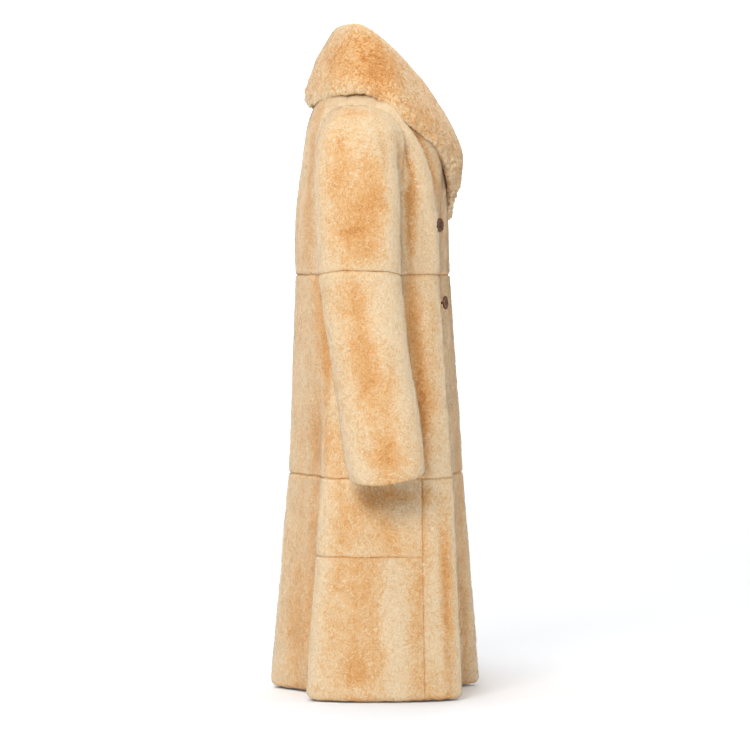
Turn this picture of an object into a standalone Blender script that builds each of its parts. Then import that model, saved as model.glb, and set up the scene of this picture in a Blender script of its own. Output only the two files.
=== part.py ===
"""A long sheared-fur coat, filled out and held at the shoulders, with no wearer.

Frame: X to the wearer's left, -Y to the front, Z up. The origin is the middle of the neck base.
All lengths are metres unless a table says mm.
"""

import math

import bmesh
import bpy
import numpy as np

# ---------------------------------------------------------------- main sizes
NAME = "fur_coat"
MM = 0.001
HEM_Z = -1.031  # the hem, 1.03 m under the shoulder line
SEAM_B_Z = -0.670  # lower horizontal seam
SEAM_C_Z = -0.798  # seam across each side panel
SEAM_A_Z = -0.334  # upper horizontal seam, at the waist
UNDERARM_Z = -0.209
NECK_Z = 0.0
WALL = 0.012  # skin and sheared pile together
SEAM_GAP = 0.0003
LAP_GAP = 0.0022
EDGE_ROLL = 0.0025  # how far the pile rolls in at a seam
EDGE_BAND = 0.006  # width of that roll
RIM_ROLL = 0.0055  # the pile turns in more at the hem and the cuffs
FRONT_EDGE_S = 33.0  # the right front's free edge, on the wearer's left
UNDER_EDGE_S = -22.0  # the left front's free edge, under the right front
BREAK_Z = -0.238  # where the collar ends, at the first button
SHOULDER_SEAM_S = 103.0  # the shoulder seam lies a little to the back
SIDE_SEAM_S = 90.0
SIDE_PANEL_FRONT_S = 64.0
SIDE_PANEL_BACK_S = 138.0
LAP_FADE = 0.045  # the under front reaches its own level this far past the edge

BUTTON_RADIUS = 0.0118
BUTTON_HEIGHT = 0.0042
# A button leans on its thread, away from the middle. Columns: name, x, level, height of the
# stem's foot over the fur, lean in degrees.
BUTTONS = (
    ("right_top", -0.149, -0.251, -0.0002, 11.0),
    ("right_bottom", -0.126, -0.381, 0.0010, 17.0),
    ("left_top", 0.102, -0.251, 0.0010, 11.0),
    ("left_bottom", 0.104, -0.381, 0.0010, 17.0),
)
BUTTON_STEM = 0.0014
STEM_RADIUS = 0.0026

# Rings above the waist: level, half width, front and back depth from Y = 0, squareness of the
# front and of the back half. Millimetres.
RINGS = (
    (-334.0, 205.0, 157.5, 100.0, 2.3, 2.3),
    (-292.0, 203.0, 156.0, 101.0, 2.4, 2.5),
    (-240.0, 205.0, 155.0, 100.0, 2.5, 2.8),
    (-191.0, 206.0, 154.0, 95.6, 2.6, 3.1),
    (-150.0, 208.5, 151.0, 90.0, 2.6, 3.2),
    (-110.0, 209.0, 146.0, 85.0, 2.6, 3.2),
    (-80.0, 206.0, 139.0, 79.0, 2.6, 3.1),
    (-62.0, 199.0, 130.0, 73.0, 2.5, 2.9),
    (-50.0, 184.0, 122.0, 68.5, 2.4, 2.6),
    (-36.0, 153.0, 109.0, 64.0, 2.3, 2.4),
    (-18.0, 112.0, 87.0, 58.5, 2.2, 2.2),
    (0.0, 75.0, 63.0, 52.0, 2.1, 2.1),
)

# Fold lines of the body: name, side, place round the body in degrees from the front, then x and y
# on the waist seam, on the lower seam and at the hem. Each x is measured out from the middle. mm.
FOLDS = (
    ("back_centre", -1, 180.0, 0.0, 100.0, 0.0, 111.5, 0.0, 143.0),
    ("back_flute", -1, 170.0, 36.0, 99.0, 35.0, 107.0, 35.0, 129.0),
    ("back_slope", -1, 156.0, 92.0, 89.0, 98.0, 83.0, 98.0, 90.0),
    ("back_valley", -1, 139.0, 150.0, 68.0, 170.0, 58.0, 172.0, 62.0),
    ("back_ridge", -1, 126.0, 182.0, 46.0, 218.0, 52.0, 256.0, 79.0),
    ("side_back", -1, 110.0, 200.0, 12.0, 242.0, 12.0, 296.0, 30.0),
    ("side", -1, 90.0, 205.0, -35.0, 247.0, -38.0, 303.0, -32.0),
    ("side_front", -1, 64.0, 189.0, -98.0, 238.0, -112.0, 290.0, -117.0),
    ("ridge_back", -1, 56.0, 176.0, -120.0, 224.0, -139.0, 274.0, -152.0),
    ("front_ridge", -1, 46.0, 154.0, -138.0, 196.0, -162.0, 240.0, -178.0),
    ("ridge_front", -1, 36.0, 120.0, -141.0, 152.0, -157.0, 180.0, -161.0),
    ("front_valley", -1, 26.0, 84.0, -142.0, 105.0, -152.0, 120.0, -150.0),
    ("front_hollow", -1, 12.0, 38.0, -154.0, 50.0, -168.0, 50.0, -168.0),
    ("front_centre", 1, 0.0, 0.0, -158.5, 0.0, -176.5, 0.0, -188.0),
    ("front_crest", 1, 10.0, 34.0, -160.5, 36.0, -183.5, 42.0, -212.0),
    ("crest_side", 1, 20.0, 68.0, -151.5, 78.0, -168.0, 88.0, -180.0),
    ("lap_edge", 1, 33.0, 126.0, -138.5, 128.0, -149.0, 128.0, -151.0),
    ("front_valley", 1, 38.0, 138.0, -137.5, 147.0, -148.0, 153.0, -147.0),
    ("front_ridge", 1, 47.0, 157.0, -136.0, 196.0, -158.0, 238.0, -172.0),
    ("ridge_back", 1, 56.0, 177.0, -118.0, 224.0, -136.0, 273.0, -147.0),
    ("side_front", 1, 64.0, 189.0, -98.0, 238.0, -112.0, 290.0, -117.0),
    ("side", 1, 90.0, 205.0, -35.0, 247.0, -38.0, 303.0, -32.0),
    ("side_back", 1, 110.0, 200.0, 12.0, 243.0, 14.0, 297.0, 26.0),
    ("back_ridge", 1, 127.0, 181.0, 46.0, 217.0, 54.0, 258.0, 73.0),
    ("back_valley", 1, 141.0, 146.0, 70.0, 164.0, 60.0, 176.0, 58.0),
    ("back_slope", 1, 157.0, 88.0, 90.0, 94.0, 85.0, 98.0, 94.0),
    ("back_flute", 1, 170.0, 36.0, 98.5, 35.0, 106.0, 36.0, 129.0),
)

# Neckline of the two fronts: level, x of the right front, x of the left front. mm.
NECKLINE = (
    (-238.0, 122.0, -72.0),
    (-210.0, 92.0, -58.0),
    (-180.0, 62.0, -42.0),
    (-140.0, 22.0, -14.0),
    (-100.0, -14.0, 16.0),
    (-60.0, -43.0, 43.0),
    (-30.0, -62.0, 62.0),
    (-10.0, -71.0, 71.0),
    (0.0, -74.0, 74.0),
)

# Armhole: level, y of its front edge, y of its back edge. mm.
ARMHOLE = (
    (-56.5, -20.0, 34.0),
    (-64.0, -38.0, 46.0),
    (-77.0, -52.0, 53.0),
    (-95.0, -63.0, 58.0),
    (-116.0, -72.0, 61.0),
    (-138.0, -80.0, 63.0),
    (-160.0, -86.0, 63.5),
    (-179.0, -88.0, 61.0),
    (-194.0, -82.0, 53.0),
    (-203.5, -67.0, 36.0),
    (-207.5, -50.0, 6.0),
)
ARMHOLE_TOP_Z = -0.0535

# Sleeve rings under the armhole: x and z at the body side, x and z at the outer side, y of the
# front and of the back. x is measured out from the middle. mm.
SLEEVE_HEAD = (
    (208.6, -208.9, 221.0, -57.0, -84.0, 62.0),
    (209.8, -210.5, 249.0, -71.0, -77.0, 62.5),
    (210.2, -214.0, 274.0, -98.0, -71.5, 63.0),
    (210.4, -220.0, 291.0, -134.0, -70.5, 63.5),
    (210.4, -231.0, 302.0, -178.0, -73.5, 63.5),
    (210.2, -250.0, 309.0, -225.0, -76.0, 62.5),
    (209.8, -290.0, 313.5, -272.0, -77.5, 61.0),
    (209.5, -346.0, 315.5, -327.0, -77.0, 59.0),
)
SLEEVE_ARM = (
    (209.5, -346.0, 315.5, -327.0, -77.0, 59.0),
    (215.0, -400.0, 320.5, -388.0, -82.5, 51.0),
    (224.5, -465.0, 330.0, -455.0, -88.5, 40.0),
    (235.0, -545.0, 340.5, -537.0, -102.5, 28.0),
    (246.0, -626.0, 351.5, -620.0, -113.0, 16.0),
    (251.0, -671.0, 356.5, -668.0, -115.7, 7.0),
)
SLEEVE_SQUARENESS = 2.35
CUFF_DROP = (-0.007, 0.006)  # the cuff's lower edge dips behind its middle and rises to the front

# Collar sections: name, where it is sewn (degrees on the neck ring, or mm down the neckline),
# the roll (x, y, z), the outer edge (x, y, z), the swell of the fall, the thickness. mm.
# x is measured out from the middle. The right half has every row.
COLLAR = (
    ("nape", 180.0, 0, 30, 85, 0, 79, -38, 9, 16),
    ("nape_side", 150.0, 38, 24, 87, 56, 72, -48, 9, 17),
    ("back_side", 125.0, 64, 8, 89, 111, 50, -39, 10, 19),
    ("side", 104.0, 79, -12, 86, 149, 16, -32, 10, 21),
    ("side_front", 84.0, 85, -38, 71, 160, -22, -32, 10, 22),
    ("front_top", -14.0, 81, -70, 43, 184, -56, -54, 10, 23),
    ("front_1", -36.0, 69, -101, 10, 187, -90, -86, 9, 23),
    ("front_2", -66.0, 52, -131, -28, 156, -127, -110, 8, 23),
    ("front_3", -98.0, 30, -156, -68, 116, -146, -134, 8, 24),
    ("front_4", -132.0, -2, -176, -114, 76, -158, -162, 9, 24),
    ("front_5", -165.0, -33, -175, -151, 26, -163, -190, 7, 21),
    ("front_6", -197.0, -67, -164, -187, -32, -161, -215, 3, 16),
    ("tip", -224.0, -102, -156, -216, -90, -157, -241, 2, 10),
)
COLLAR_SHARED = 8  # rows that the left half mirrors
COLLAR_LEFT_END = (("left_end", -101.0, 24, -148, -82, 72, -158, -166, 7, 20),)


# ---------------------------------------------------------------- curves through tables
def slopes_of(places, values, monotone):
    """Slope at each row of a table, for a smooth curve through its rows."""
    steps = np.diff(places)[:, None]
    rises = np.diff(values, axis=0) / steps
    found = np.empty_like(values)
    found[0] = rises[0]
    found[-1] = rises[-1]
    before, after = steps[:-1], steps[1:]
    mixed = (after * rises[:-1] + before * rises[1:]) / (before + after)
    if monotone:
        product = rises[:-1] * rises[1:]
        total = rises[:-1] + rises[1:]
        safe = np.where(np.abs(total) < 1e-12, 1.0, total)
        mixed = np.where(product > 0, 2 * product / safe, 0.0)
    found[1:-1] = mixed
    return found


def curve(places, values, at, monotone=False):
    """The curve through a table's rows, at any places between its first and last row."""
    places = np.asarray(places, float)
    values = np.asarray(values, float).reshape(len(places), -1)
    found = slopes_of(places, values, monotone)
    at = np.clip(np.asarray(at, float), places[0], places[-1])
    row = np.clip(np.searchsorted(places, at, side="right") - 1, 0, len(places) - 2)
    step = (places[row + 1] - places[row])[..., None]
    t = (at[..., None] - places[row][..., None]) / step
    low, high = values[row], values[row + 1]
    low_slope, high_slope = found[row] * step, found[row + 1] * step
    return (
        (2 * t**3 - 3 * t**2 + 1) * low
        + (t**3 - 2 * t**2 + t) * low_slope
        + (3 * t**2 - 2 * t**3) * high
        + (t**3 - t**2) * high_slope
    )


def fold_table():
    """Signed degrees, and x and y at the three seams, with three turns of it so that it wraps."""
    rows = []
    for _, side, degrees, ax, ay, bx, by, hx, hy in FOLDS:
        rows.append((side * degrees, side * ax, ay, side * bx, by, side * hx, hy))
    rows = np.array(sorted(rows), float)
    turns = []
    for turn in (-360.0, 0.0, 360.0):
        moved = rows.copy()
        moved[:, 0] += turn
        turns.append(moved)
    rows = np.concatenate(turns)
    return rows[:, 0], rows[:, 1:] * MM


FOLD_PLACES, FOLD_PLANS = fold_table()
RING_ROWS = np.array(RINGS)
RING_LEVELS = RING_ROWS[:, 0] * MM
RING_SIZES = RING_ROWS[:, 1:] * np.array([MM, MM, MM, 1.0, 1.0])


def ring_point(s, sizes):
    """x and y on a rounded ring, for places s in degrees from the front."""
    width, front, back, front_power, back_power = np.moveaxis(sizes, -1, 0)
    middle = (back - front) / 2
    depth = (back + front) / 2
    sine = np.sin(np.radians(s))
    cosine = np.cos(np.radians(s))
    power = np.where(cosine > 0, front_power, back_power)
    radius = (np.abs(sine / width) ** power + np.abs(cosine / depth) ** power) ** (-1 / power)
    return np.stack([radius * sine, middle - radius * cosine], axis=-1)


def body(s, z):
    """The coat's outer surface: places s in degrees from the front toward the wearer's left."""
    s, z = np.broadcast_arrays(np.asarray(s, float), np.asarray(z, float))
    turned = (s + 180.0) % 360.0 - 180.0
    plans = curve(FOLD_PLACES, FOLD_PLANS, turned)
    waist, lower, hem = plans[..., 0:2], plans[..., 2:4], plans[..., 4:6]
    plain_waist = ring_point(turned, np.broadcast_to(RING_SIZES[0], turned.shape + (5,)))
    sizes = curve(RING_LEVELS, RING_SIZES, z, monotone=True)
    grown = np.clip((-0.055 - z) / (-0.055 - SEAM_A_Z), 0, 1)
    grown = (grown * grown * (3 - 2 * grown))[..., None]
    upper = ring_point(turned, sizes) + grown * (waist - plain_waist)
    middle_share = np.clip((SEAM_A_Z - z) / (SEAM_A_Z - SEAM_B_Z), 0, 1)[..., None]
    lower_share = np.clip((SEAM_B_Z - z) / (SEAM_B_Z - HEM_Z), 0, 1)[..., None]
    skirt = waist + (lower - waist) * middle_share + (hem - lower) * lower_share
    plan = np.where((z > SEAM_A_Z)[..., None], upper, skirt)
    return np.concatenate([plan, z[..., None]], axis=-1)


def body_normal(s, z):
    """Outward unit normals of the coat's surface."""
    along = body(s + 0.4, z) - body(s - 0.4, z)
    low = np.maximum(z - 0.001, HEM_Z)
    high = np.minimum(z + 0.001, NECK_Z)
    up = body(s, high) - body(s, low)
    normal = np.cross(along, up)
    return normal / np.linalg.norm(normal, axis=-1, keepdims=True)


def place_of(axis, target, z, low, high):
    """The place s between low and high where the body's x (axis 0) or y (axis 1) is the target."""
    target, z, low, high = np.broadcast_arrays(
        *[np.asarray(value, float) for value in (target, z, low, high)]
    )
    low, high = low.copy(), high.copy()
    rising = body(high, z)[..., axis] > body(low, z)[..., axis]
    for _ in range(40):
        middle = (low + high) / 2
        over = (body(middle, z)[..., axis] > target) == rising
        high = np.where(over, middle, high)
        low = np.where(over, low, middle)
    return (low + high) / 2


# ---------------------------------------------------------------- edges of the panels
NECK_ROWS = np.array(NECKLINE) * MM
ARM_ROWS = np.array(ARMHOLE)[::-1] * MM  # from the underarm up


NECK_ROWS[0, 1] = body(FRONT_EDGE_S, BREAK_Z)[0]
NECK_ROWS[0, 2] = body(UNDER_EDGE_S, BREAK_Z)[0]


def edge_x(z, side):
    """How far a front reaches over the middle: its free edge, or its neckline above that."""
    z = np.asarray(z, float)
    place, column = (FRONT_EDGE_S, 1) if side < 0 else (UNDER_EDGE_S, 2)
    neckline = curve(NECK_ROWS[:, 0], NECK_ROWS[:, column], z)[..., 0]
    return np.where(z < BREAK_Z, body(place, np.minimum(z, BREAK_Z))[..., 0], neckline)


def neck_place(z, side):
    """Where the front of this side ends toward the neck or the lap, in degrees."""
    z = np.asarray(z, float)
    low, high = (-100.0, 75.0) if side < 0 else (-75.0, 100.0)
    return place_of(0, edge_x(z, side), z, low, high)


def armhole_place(z, side, front):
    """Where the body's panel ends toward the sleeve or the seam, as degrees from the front."""
    z = np.asarray(z, float)
    levels = np.concatenate([[UNDERARM_Z], ARM_ROWS[:, 0], [ARMHOLE_TOP_Z]])
    column = 1 if front else 2
    rim = np.empty(len(levels))
    rim[1:-1] = place_of(1, ARM_ROWS[:, column], ARM_ROWS[:, 0], 2.0, 178.0)
    rim[0] = SIDE_SEAM_S
    rim[-1] = SHOULDER_SEAM_S
    found = np.interp(z, levels, rim)
    return side * np.where(z > ARMHOLE_TOP_Z, SHOULDER_SEAM_S, found)


# ---------------------------------------------------------------- solids
def material_of(name, colour, roughness):
    made = bpy.data.materials.new(name)
    made.use_nodes = True
    shader = made.node_tree.nodes["Principled BSDF"]
    shader.inputs["Base Color"].default_value = (*colour, 1.0)
    shader.inputs["Roughness"].default_value = roughness
    made.diffuse_color = (*colour, 1.0)
    return made


def add_object(name, points, faces, colour, roughness=0.9):
    mesh = bpy.data.meshes.new(name)
    mesh.from_pydata([tuple(map(float, p)) for p in points], [], faces)
    mesh.update()
    shape = bmesh.new()
    shape.from_mesh(mesh)
    bmesh.ops.recalc_face_normals(shape, faces=shape.faces)
    if shape.calc_volume(signed=True) < 0:
        bmesh.ops.reverse_faces(shape, faces=shape.faces)
    shape.to_mesh(mesh)
    shape.free()
    mesh.materials.append(material_of(name + "_material", colour, roughness))
    made = bpy.data.objects.new(name, mesh)
    COAT.objects.link(made)
    return made


def open_wall(outer, inner):
    """Points and faces of a wall between two grids of the same size."""
    rows, columns = outer.shape[:2]
    points = np.concatenate([outer.reshape(-1, 3), inner.reshape(-1, 3)])
    back = rows * columns

    def at(row, column, side):
        return row * columns + column + side * back

    faces = []
    for row in range(rows - 1):
        for column in range(columns - 1):
            corners = ((row, column), (row, column + 1), (row + 1, column + 1), (row + 1, column))
            faces.append([at(*corner, 0) for corner in corners])
            faces.append([at(*corner, 1) for corner in reversed(corners)])
    border = [(0, column) for column in range(columns)]
    border += [(row, columns - 1) for row in range(1, rows)]
    border += [(rows - 1, column) for column in range(columns - 2, -1, -1)]
    border += [(row, 0) for row in range(rows - 2, 0, -1)]
    for first, second in zip(border, border[1:] + border[:1]):
        faces.append([at(*second, 0), at(*first, 0), at(*first, 1), at(*second, 1)])
    return points, faces


def tube_wall(outer, inner):
    """Points and faces of a wall between two sets of closed rings."""
    rows, columns = outer.shape[:2]
    points = np.concatenate([outer.reshape(-1, 3), inner.reshape(-1, 3)])
    back = rows * columns
    faces = []
    for column in range(columns):
        after = (column + 1) % columns
        for row in range(rows - 1):
            here, above = row * columns, (row + 1) * columns
            faces.append([here + column, here + after, above + after, above + column])
            faces.append(
                [back + above + column, back + above + after, back + here + after, back + here + column]
            )
        last = (rows - 1) * columns
        faces.append([after, column, back + column, back + after])
        faces.append([last + column, last + after, back + last + after, back + last + column])
    return points, faces


def row_levels(low, high, between, low_edge, high_edge):
    """Levels of a panel's rows and how far the pile is rolled in on each."""
    levels = [low]
    rolls = [low_edge]
    if low_edge:
        levels.append(low + EDGE_BAND * (1.6 if low_edge > EDGE_ROLL else 1.0))
        rolls.append(0.0)
    for level in between:
        levels.append(level)
        rolls.append(0.0)
    if high_edge:
        levels.append(high - EDGE_BAND)
        rolls.append(0.0)
    levels.append(high)
    rolls.append(high_edge)
    return np.array(levels), np.array(rolls)


def lap_depth(points, z, side):
    """How far the left front lies under the right one."""
    if side <= 0:
        return np.zeros(points.shape[:-1])
    past = points[..., 0] - edge_x(z, -1) - 0.012
    share = np.clip(1 - past / LAP_FADE, 0, 1)
    return (WALL + LAP_GAP) * share * share * (3 - 2 * share)


def squeezed(inner, places, low, high, side):
    """The inner columns of a panel, pressed together only near an edge that has moved past them."""
    low_reach, high_reach = (26.0, 45.0) if side < 0 else (45.0, 26.0)
    if side == 0:
        low_reach = high_reach = 26.0
    first, last = float(places[0]), float(places[-1])
    pivot = np.clip(high - high_reach, low, places[-2])
    share = (inner - pivot) / (last - pivot)
    inner = np.where(inner > pivot, pivot + (high - pivot) * share, inner)
    pivot = np.clip(low + low_reach, places[1], high)
    share = (inner - pivot) / (first - pivot)
    return np.where(inner < pivot, pivot + (low - pivot) * share, inner)


def panel(name, levels, rolls, start, end, places, side=0, colour=(0.83, 0.63, 0.39)):
    """One panel: start and end give the place of its edges on each level."""
    z = levels[:, None]
    low, high = start(levels), end(levels)
    length = np.linalg.norm(body(high, levels) - body(low, levels), axis=1)
    span = (high - low)[:, None]
    band = np.clip(EDGE_BAND * span[:, 0] / np.maximum(length, 1e-6), 0, 0.2 * span[:, 0])[:, None]
    edge = (SEAM_GAP * 0.6 * span[:, 0] / np.maximum(length, 1e-6))[:, None]
    inner = np.broadcast_to(np.array(places[1:-1], float), (len(levels), len(places) - 2))
    inner = squeezed(inner, places, low[:, None] + band, high[:, None] - band, side)
    low, high = low[:, None], high[:, None]
    s = np.concatenate([low + edge, low + band, inner, high - band, high - edge], axis=1)
    z = np.broadcast_to(z, s.shape)
    skin = body(s, z)
    normal = body_normal(s, z)
    depth = lap_depth(skin, z, side)
    column_roll = np.zeros(s.shape[1])
    column_roll[[0, -1]] = EDGE_ROLL
    roll = np.maximum(rolls[:, None], column_roll[None, :])
    outer = skin - normal * (depth + roll)[..., None]
    inner = skin - normal * (depth + WALL)[..., None]
    for row in (0, -1):
        if rolls[row]:
            outer[row, :, 2] = levels[row]
            inner[row, :, 2] = levels[row]
    points, faces = open_wall(outer, inner)
    return add_object(name, points, faces, colour)


def fixed(place):
    return lambda z: np.full(np.shape(z), float(place))


def middle_gap(level, side):
    """A seam's level, moved half a gap up or down."""
    return level + side * SEAM_GAP / 2


bpy.context.scene.unit_settings.system = "METRIC"
for old in list(bpy.data.objects):
    bpy.data.objects.remove(old, do_unlink=True)
COAT = bpy.data.collections.new(NAME)
bpy.context.scene.collection.children.link(COAT)

# ---------------------------------------------------------------- the body's panels
RIGHT_PLACES = (-90, -77, -64, -56, -46, -36, -26, -17, -9, -2, 4, 10, 17, 25, 33)
LEFT_PLACES = (-22, -17, -9, -2, 4, 10, 17, 25, 32, 38, 47, 56, 64, 77, 90)
BACK_PLACES = (90, 100, 110, 119, 127, 134, 141, 149, 157, 165, 172, 180, 189, 197, 205, 214, 221)
BACK_PLACES = BACK_PLACES + (228, 235, 243, 251, 260, 270)
LOWER_BACK_PLACES = (138, 143, 150, 157, 165, 172, 180, 188, 195, 203, 210, 217, 222)
SIDE_PLACES = (64, 73, 82, 90, 100, 110, 119, 127, 133, 138)

ARM_LEVELS = tuple(ARM_ROWS[:, 0])
FRONT_LEVELS = (-0.290, -0.250, -0.226, UNDERARM_Z) + ARM_LEVELS
FRONT_LEVELS = FRONT_LEVELS + (ARMHOLE_TOP_Z, -0.046, -0.036, -0.024, -0.012)
BACK_LEVELS = (-0.290, -0.250, -0.226, UNDERARM_Z) + ARM_LEVELS
BACK_LEVELS = BACK_LEVELS + (ARMHOLE_TOP_Z, -0.046, -0.036, -0.024, -0.012)

LOWER_LEVELS = (-0.92, SEAM_C_Z - EDGE_BAND, SEAM_C_Z, SEAM_C_Z + EDGE_BAND)

upper_bottom = middle_gap(SEAM_A_Z, 1)
middle_top = middle_gap(SEAM_A_Z, -1)
middle_bottom = middle_gap(SEAM_B_Z, 1)
lower_top = middle_gap(SEAM_B_Z, -1)

for side, label, places in ((-1, "right", RIGHT_PLACES), (1, "left", LEFT_PLACES)):

    def neck_end(z, side=side):
        return neck_place(z, side)

    def arm_end(z, side=side):
        return armhole_place(z, side, True)

    def seam_end(z, side=side):
        return np.full(np.shape(z), side * SIDE_SEAM_S)

    def panel_end(z, side=side):
        return np.full(np.shape(z), side * SIDE_PANEL_FRONT_S)

    levels, rolls = row_levels(upper_bottom, -0.003, FRONT_LEVELS, EDGE_ROLL, 0.0)
    if side < 0:
        panel("front_upper_right", levels, rolls, arm_end, neck_end, places, side)
    else:
        panel("front_upper_left", levels, rolls, neck_end, arm_end, places, side)
    levels, rolls = row_levels(middle_bottom, middle_top, (-0.50,), EDGE_ROLL, EDGE_ROLL)
    ends = (seam_end, neck_end) if side < 0 else (neck_end, seam_end)
    panel("front_middle_" + label, levels, rolls, *ends, places, side)
    levels, rolls = row_levels(HEM_Z, lower_top, LOWER_LEVELS, RIM_ROLL, EDGE_ROLL)
    front_places = [p for p in places if abs(p) <= SIDE_PANEL_FRONT_S]
    ends = (panel_end, neck_end) if side < 0 else (neck_end, panel_end)
    panel("front_lower_" + label, levels, rolls, *ends, front_places, side)

    places = SIDE_PLACES if side > 0 else tuple(-p for p in reversed(SIDE_PLACES))
    ends = (fixed(places[0]), fixed(places[-1]))
    levels, rolls = row_levels(middle_gap(SEAM_C_Z, 1), lower_top, (), EDGE_ROLL, EDGE_ROLL)
    panel("side_lower_top_" + label, levels, rolls, *ends, places)
    levels, rolls = row_levels(HEM_Z, middle_gap(SEAM_C_Z, -1), (-0.92,), RIM_ROLL, EDGE_ROLL)
    panel("side_lower_bottom_" + label, levels, rolls, *ends, places)


def back_start(z):
    return armhole_place(z, 1, False)


def back_end(z):
    return 360.0 + armhole_place(z, -1, False)


levels, rolls = row_levels(upper_bottom, NECK_Z, BACK_LEVELS, EDGE_ROLL, 0.0)
panel("back_upper", levels, rolls, back_start, back_end, BACK_PLACES)
levels, rolls = row_levels(middle_bottom, middle_top, (-0.50,), EDGE_ROLL, EDGE_ROLL)
panel("back_middle", levels, rolls, fixed(SIDE_SEAM_S), fixed(360 - SIDE_SEAM_S), BACK_PLACES)
levels, rolls = row_levels(HEM_Z, lower_top, LOWER_LEVELS, RIM_ROLL, EDGE_ROLL)
ends = (fixed(SIDE_PANEL_BACK_S), fixed(360 - SIDE_PANEL_BACK_S))
panel("back_lower", levels, rolls, *ends, LOWER_BACK_PLACES)


# ---------------------------------------------------------------- sleeves
def armhole_rim(side):
    """Outer and inner points round the armhole, from the shoulder down the front and up the back."""
    levels = ARM_ROWS[:, 0]
    down = levels[::-1]
    z = np.concatenate([[ARMHOLE_TOP_Z], down, [UNDERARM_Z], levels])
    s = np.concatenate(
        [
            [side * SHOULDER_SEAM_S],
            armhole_place(down, side, True),
            [side * SIDE_SEAM_S],
            armhole_place(levels, side, False),
        ]
    )
    skin = body(s, z)
    normal = body_normal(s, z)
    tangent = np.roll(skin, -1, axis=0) - np.roll(skin, 1, axis=0)
    into = np.cross(normal, tangent)
    into /= np.linalg.norm(into, axis=1, keepdims=True)
    centre = skin.mean(axis=0)
    facing = np.sign(((centre - skin) * into).sum(axis=1, keepdims=True))
    return skin, normal, into * facing


def sleeve_ring(row, angles, side, shrink):
    """A ring of the sleeve from one table row. Angle 0 is the outer side, 90 the front."""
    in_x, in_z, out_x, out_z, front, back = [value * MM for value in row]
    inside = np.array([side * in_x, 0.0, in_z])
    outside = np.array([side * out_x, 0.0, out_z])
    across = outside - inside
    half = np.linalg.norm(across) / 2
    across = across / (2 * half)
    middle = (inside + outside) / 2
    middle[1] = (front + back) / 2
    half_y = (back - front) / 2
    power = SLEEVE_SQUARENESS
    cosine, sine = np.cos(np.radians(angles)), np.sin(np.radians(angles))
    radius = (np.abs(cosine / half) ** power + np.abs(sine / half_y) ** power) ** (-1 / power)
    spread = np.stack([radius * cosine, radius * sine], axis=1)
    spread = spread * np.array([(half - shrink) / half, (half_y - shrink) / half_y])
    ring = middle + spread[:, :1] * across
    ring[:, 1] -= spread[:, 1]
    return ring


def sleeve(side, label):
    skin, normal, into = armhole_rim(side)
    gap = SEAM_GAP * 2.8
    head_outer = [skin - normal * WALL + into * gap, skin - normal * EDGE_ROLL + into * gap]
    head_inner = [skin - normal * WALL + into * WALL, skin + into * WALL]
    height = skin[:, 2] - skin[:, 2].mean()
    depth = skin[:, 1] - skin[:, 1].mean()
    angles = np.degrees(np.arctan2(-depth / np.ptp(depth), height / np.ptp(height)))
    even = np.linspace(0.0, 360.0, len(angles), endpoint=False)
    angles = np.unwrap(np.radians(angles)) / math.pi * 180.0
    for index, row in enumerate(SLEEVE_HEAD):
        share = min(1.0, (index + 1) / 6)
        turned = angles * (1 - share) + even * share
        inset = EDGE_ROLL if index == len(SLEEVE_HEAD) - 1 else 0.0
        head_outer.append(sleeve_ring(row, turned, side, inset))
        head_inner.append(sleeve_ring(row, turned, side, WALL))
    last = np.array(SLEEVE_HEAD[-1])
    above = np.array(SLEEVE_HEAD[-2])
    near = last + (above - last) * (EDGE_BAND / abs(last[1] - above[1]) / MM)
    head_outer.insert(-1, sleeve_ring(near, even, side, 0.0))
    head_inner.insert(-1, sleeve_ring(near, even, side, WALL))
    up = np.array([0.0, 0.0, SEAM_GAP / 2])
    head_outer[-1] = head_outer[-1] + up
    head_inner[-1] = head_inner[-1] + up
    points, faces = tube_wall(np.array(head_outer), np.array(head_inner))
    add_object("sleeve_upper_" + label, points, faces, (0.83, 0.62, 0.37))

    rows = np.array(SLEEVE_ARM)
    depths = rows[0, 1] - rows[:, 1]
    places = [0.0, EDGE_BAND / MM] + list(depths[1:-1])
    places += [depths[-1] - 1.6 * EDGE_BAND / MM, depths[-1]]
    insets = [EDGE_ROLL] + [0.0] * (len(places) - 2) + [RIM_ROLL]
    outer, inner = [], []
    for place, inset in zip(places, insets):
        row = curve(depths, rows, np.array([place]))[0]
        outer.append(sleeve_ring(row, even, side, inset))
        inner.append(sleeve_ring(row, even, side, WALL))
    outer, inner = np.array(outer), np.array(inner)
    outer[0] -= up
    inner[0] -= up
    front_share = (inner[-1][:, 1] - inner[-1][:, 1].mean()) / np.ptp(inner[-1][:, 1])
    dip = CUFF_DROP[0] * np.cos(math.pi * (front_share - 0.15)) - CUFF_DROP[1] * front_share
    for grid in (outer, inner):
        grid[-1][:, 2] += dip
        grid[-2][:, 2] += dip
    points, faces = tube_wall(outer, inner)
    add_object("sleeve_lower_" + label, points, faces, (0.83, 0.63, 0.39))


sleeve(-1, "right")
sleeve(1, "left")


# ---------------------------------------------------------------- collar
def unit(vector):
    return vector / np.linalg.norm(vector)


def collar_rows(half):
    """The rows of one half and one more between each two, so that all are sewn on the neckline."""
    values = np.array([row[1:] for row in half], float)
    at = np.arange(0, len(values) - 0.75, 0.5)
    rows = curve(np.arange(len(values)), values, at)
    for index in range(1, len(rows), 2):
        first, second = values[index // 2, 0], values[index // 2 + 1, 0]
        rows[index, 0] = (first + second) / 2 if first * second > 0 else min(first, second) / 2
    return rows


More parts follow.
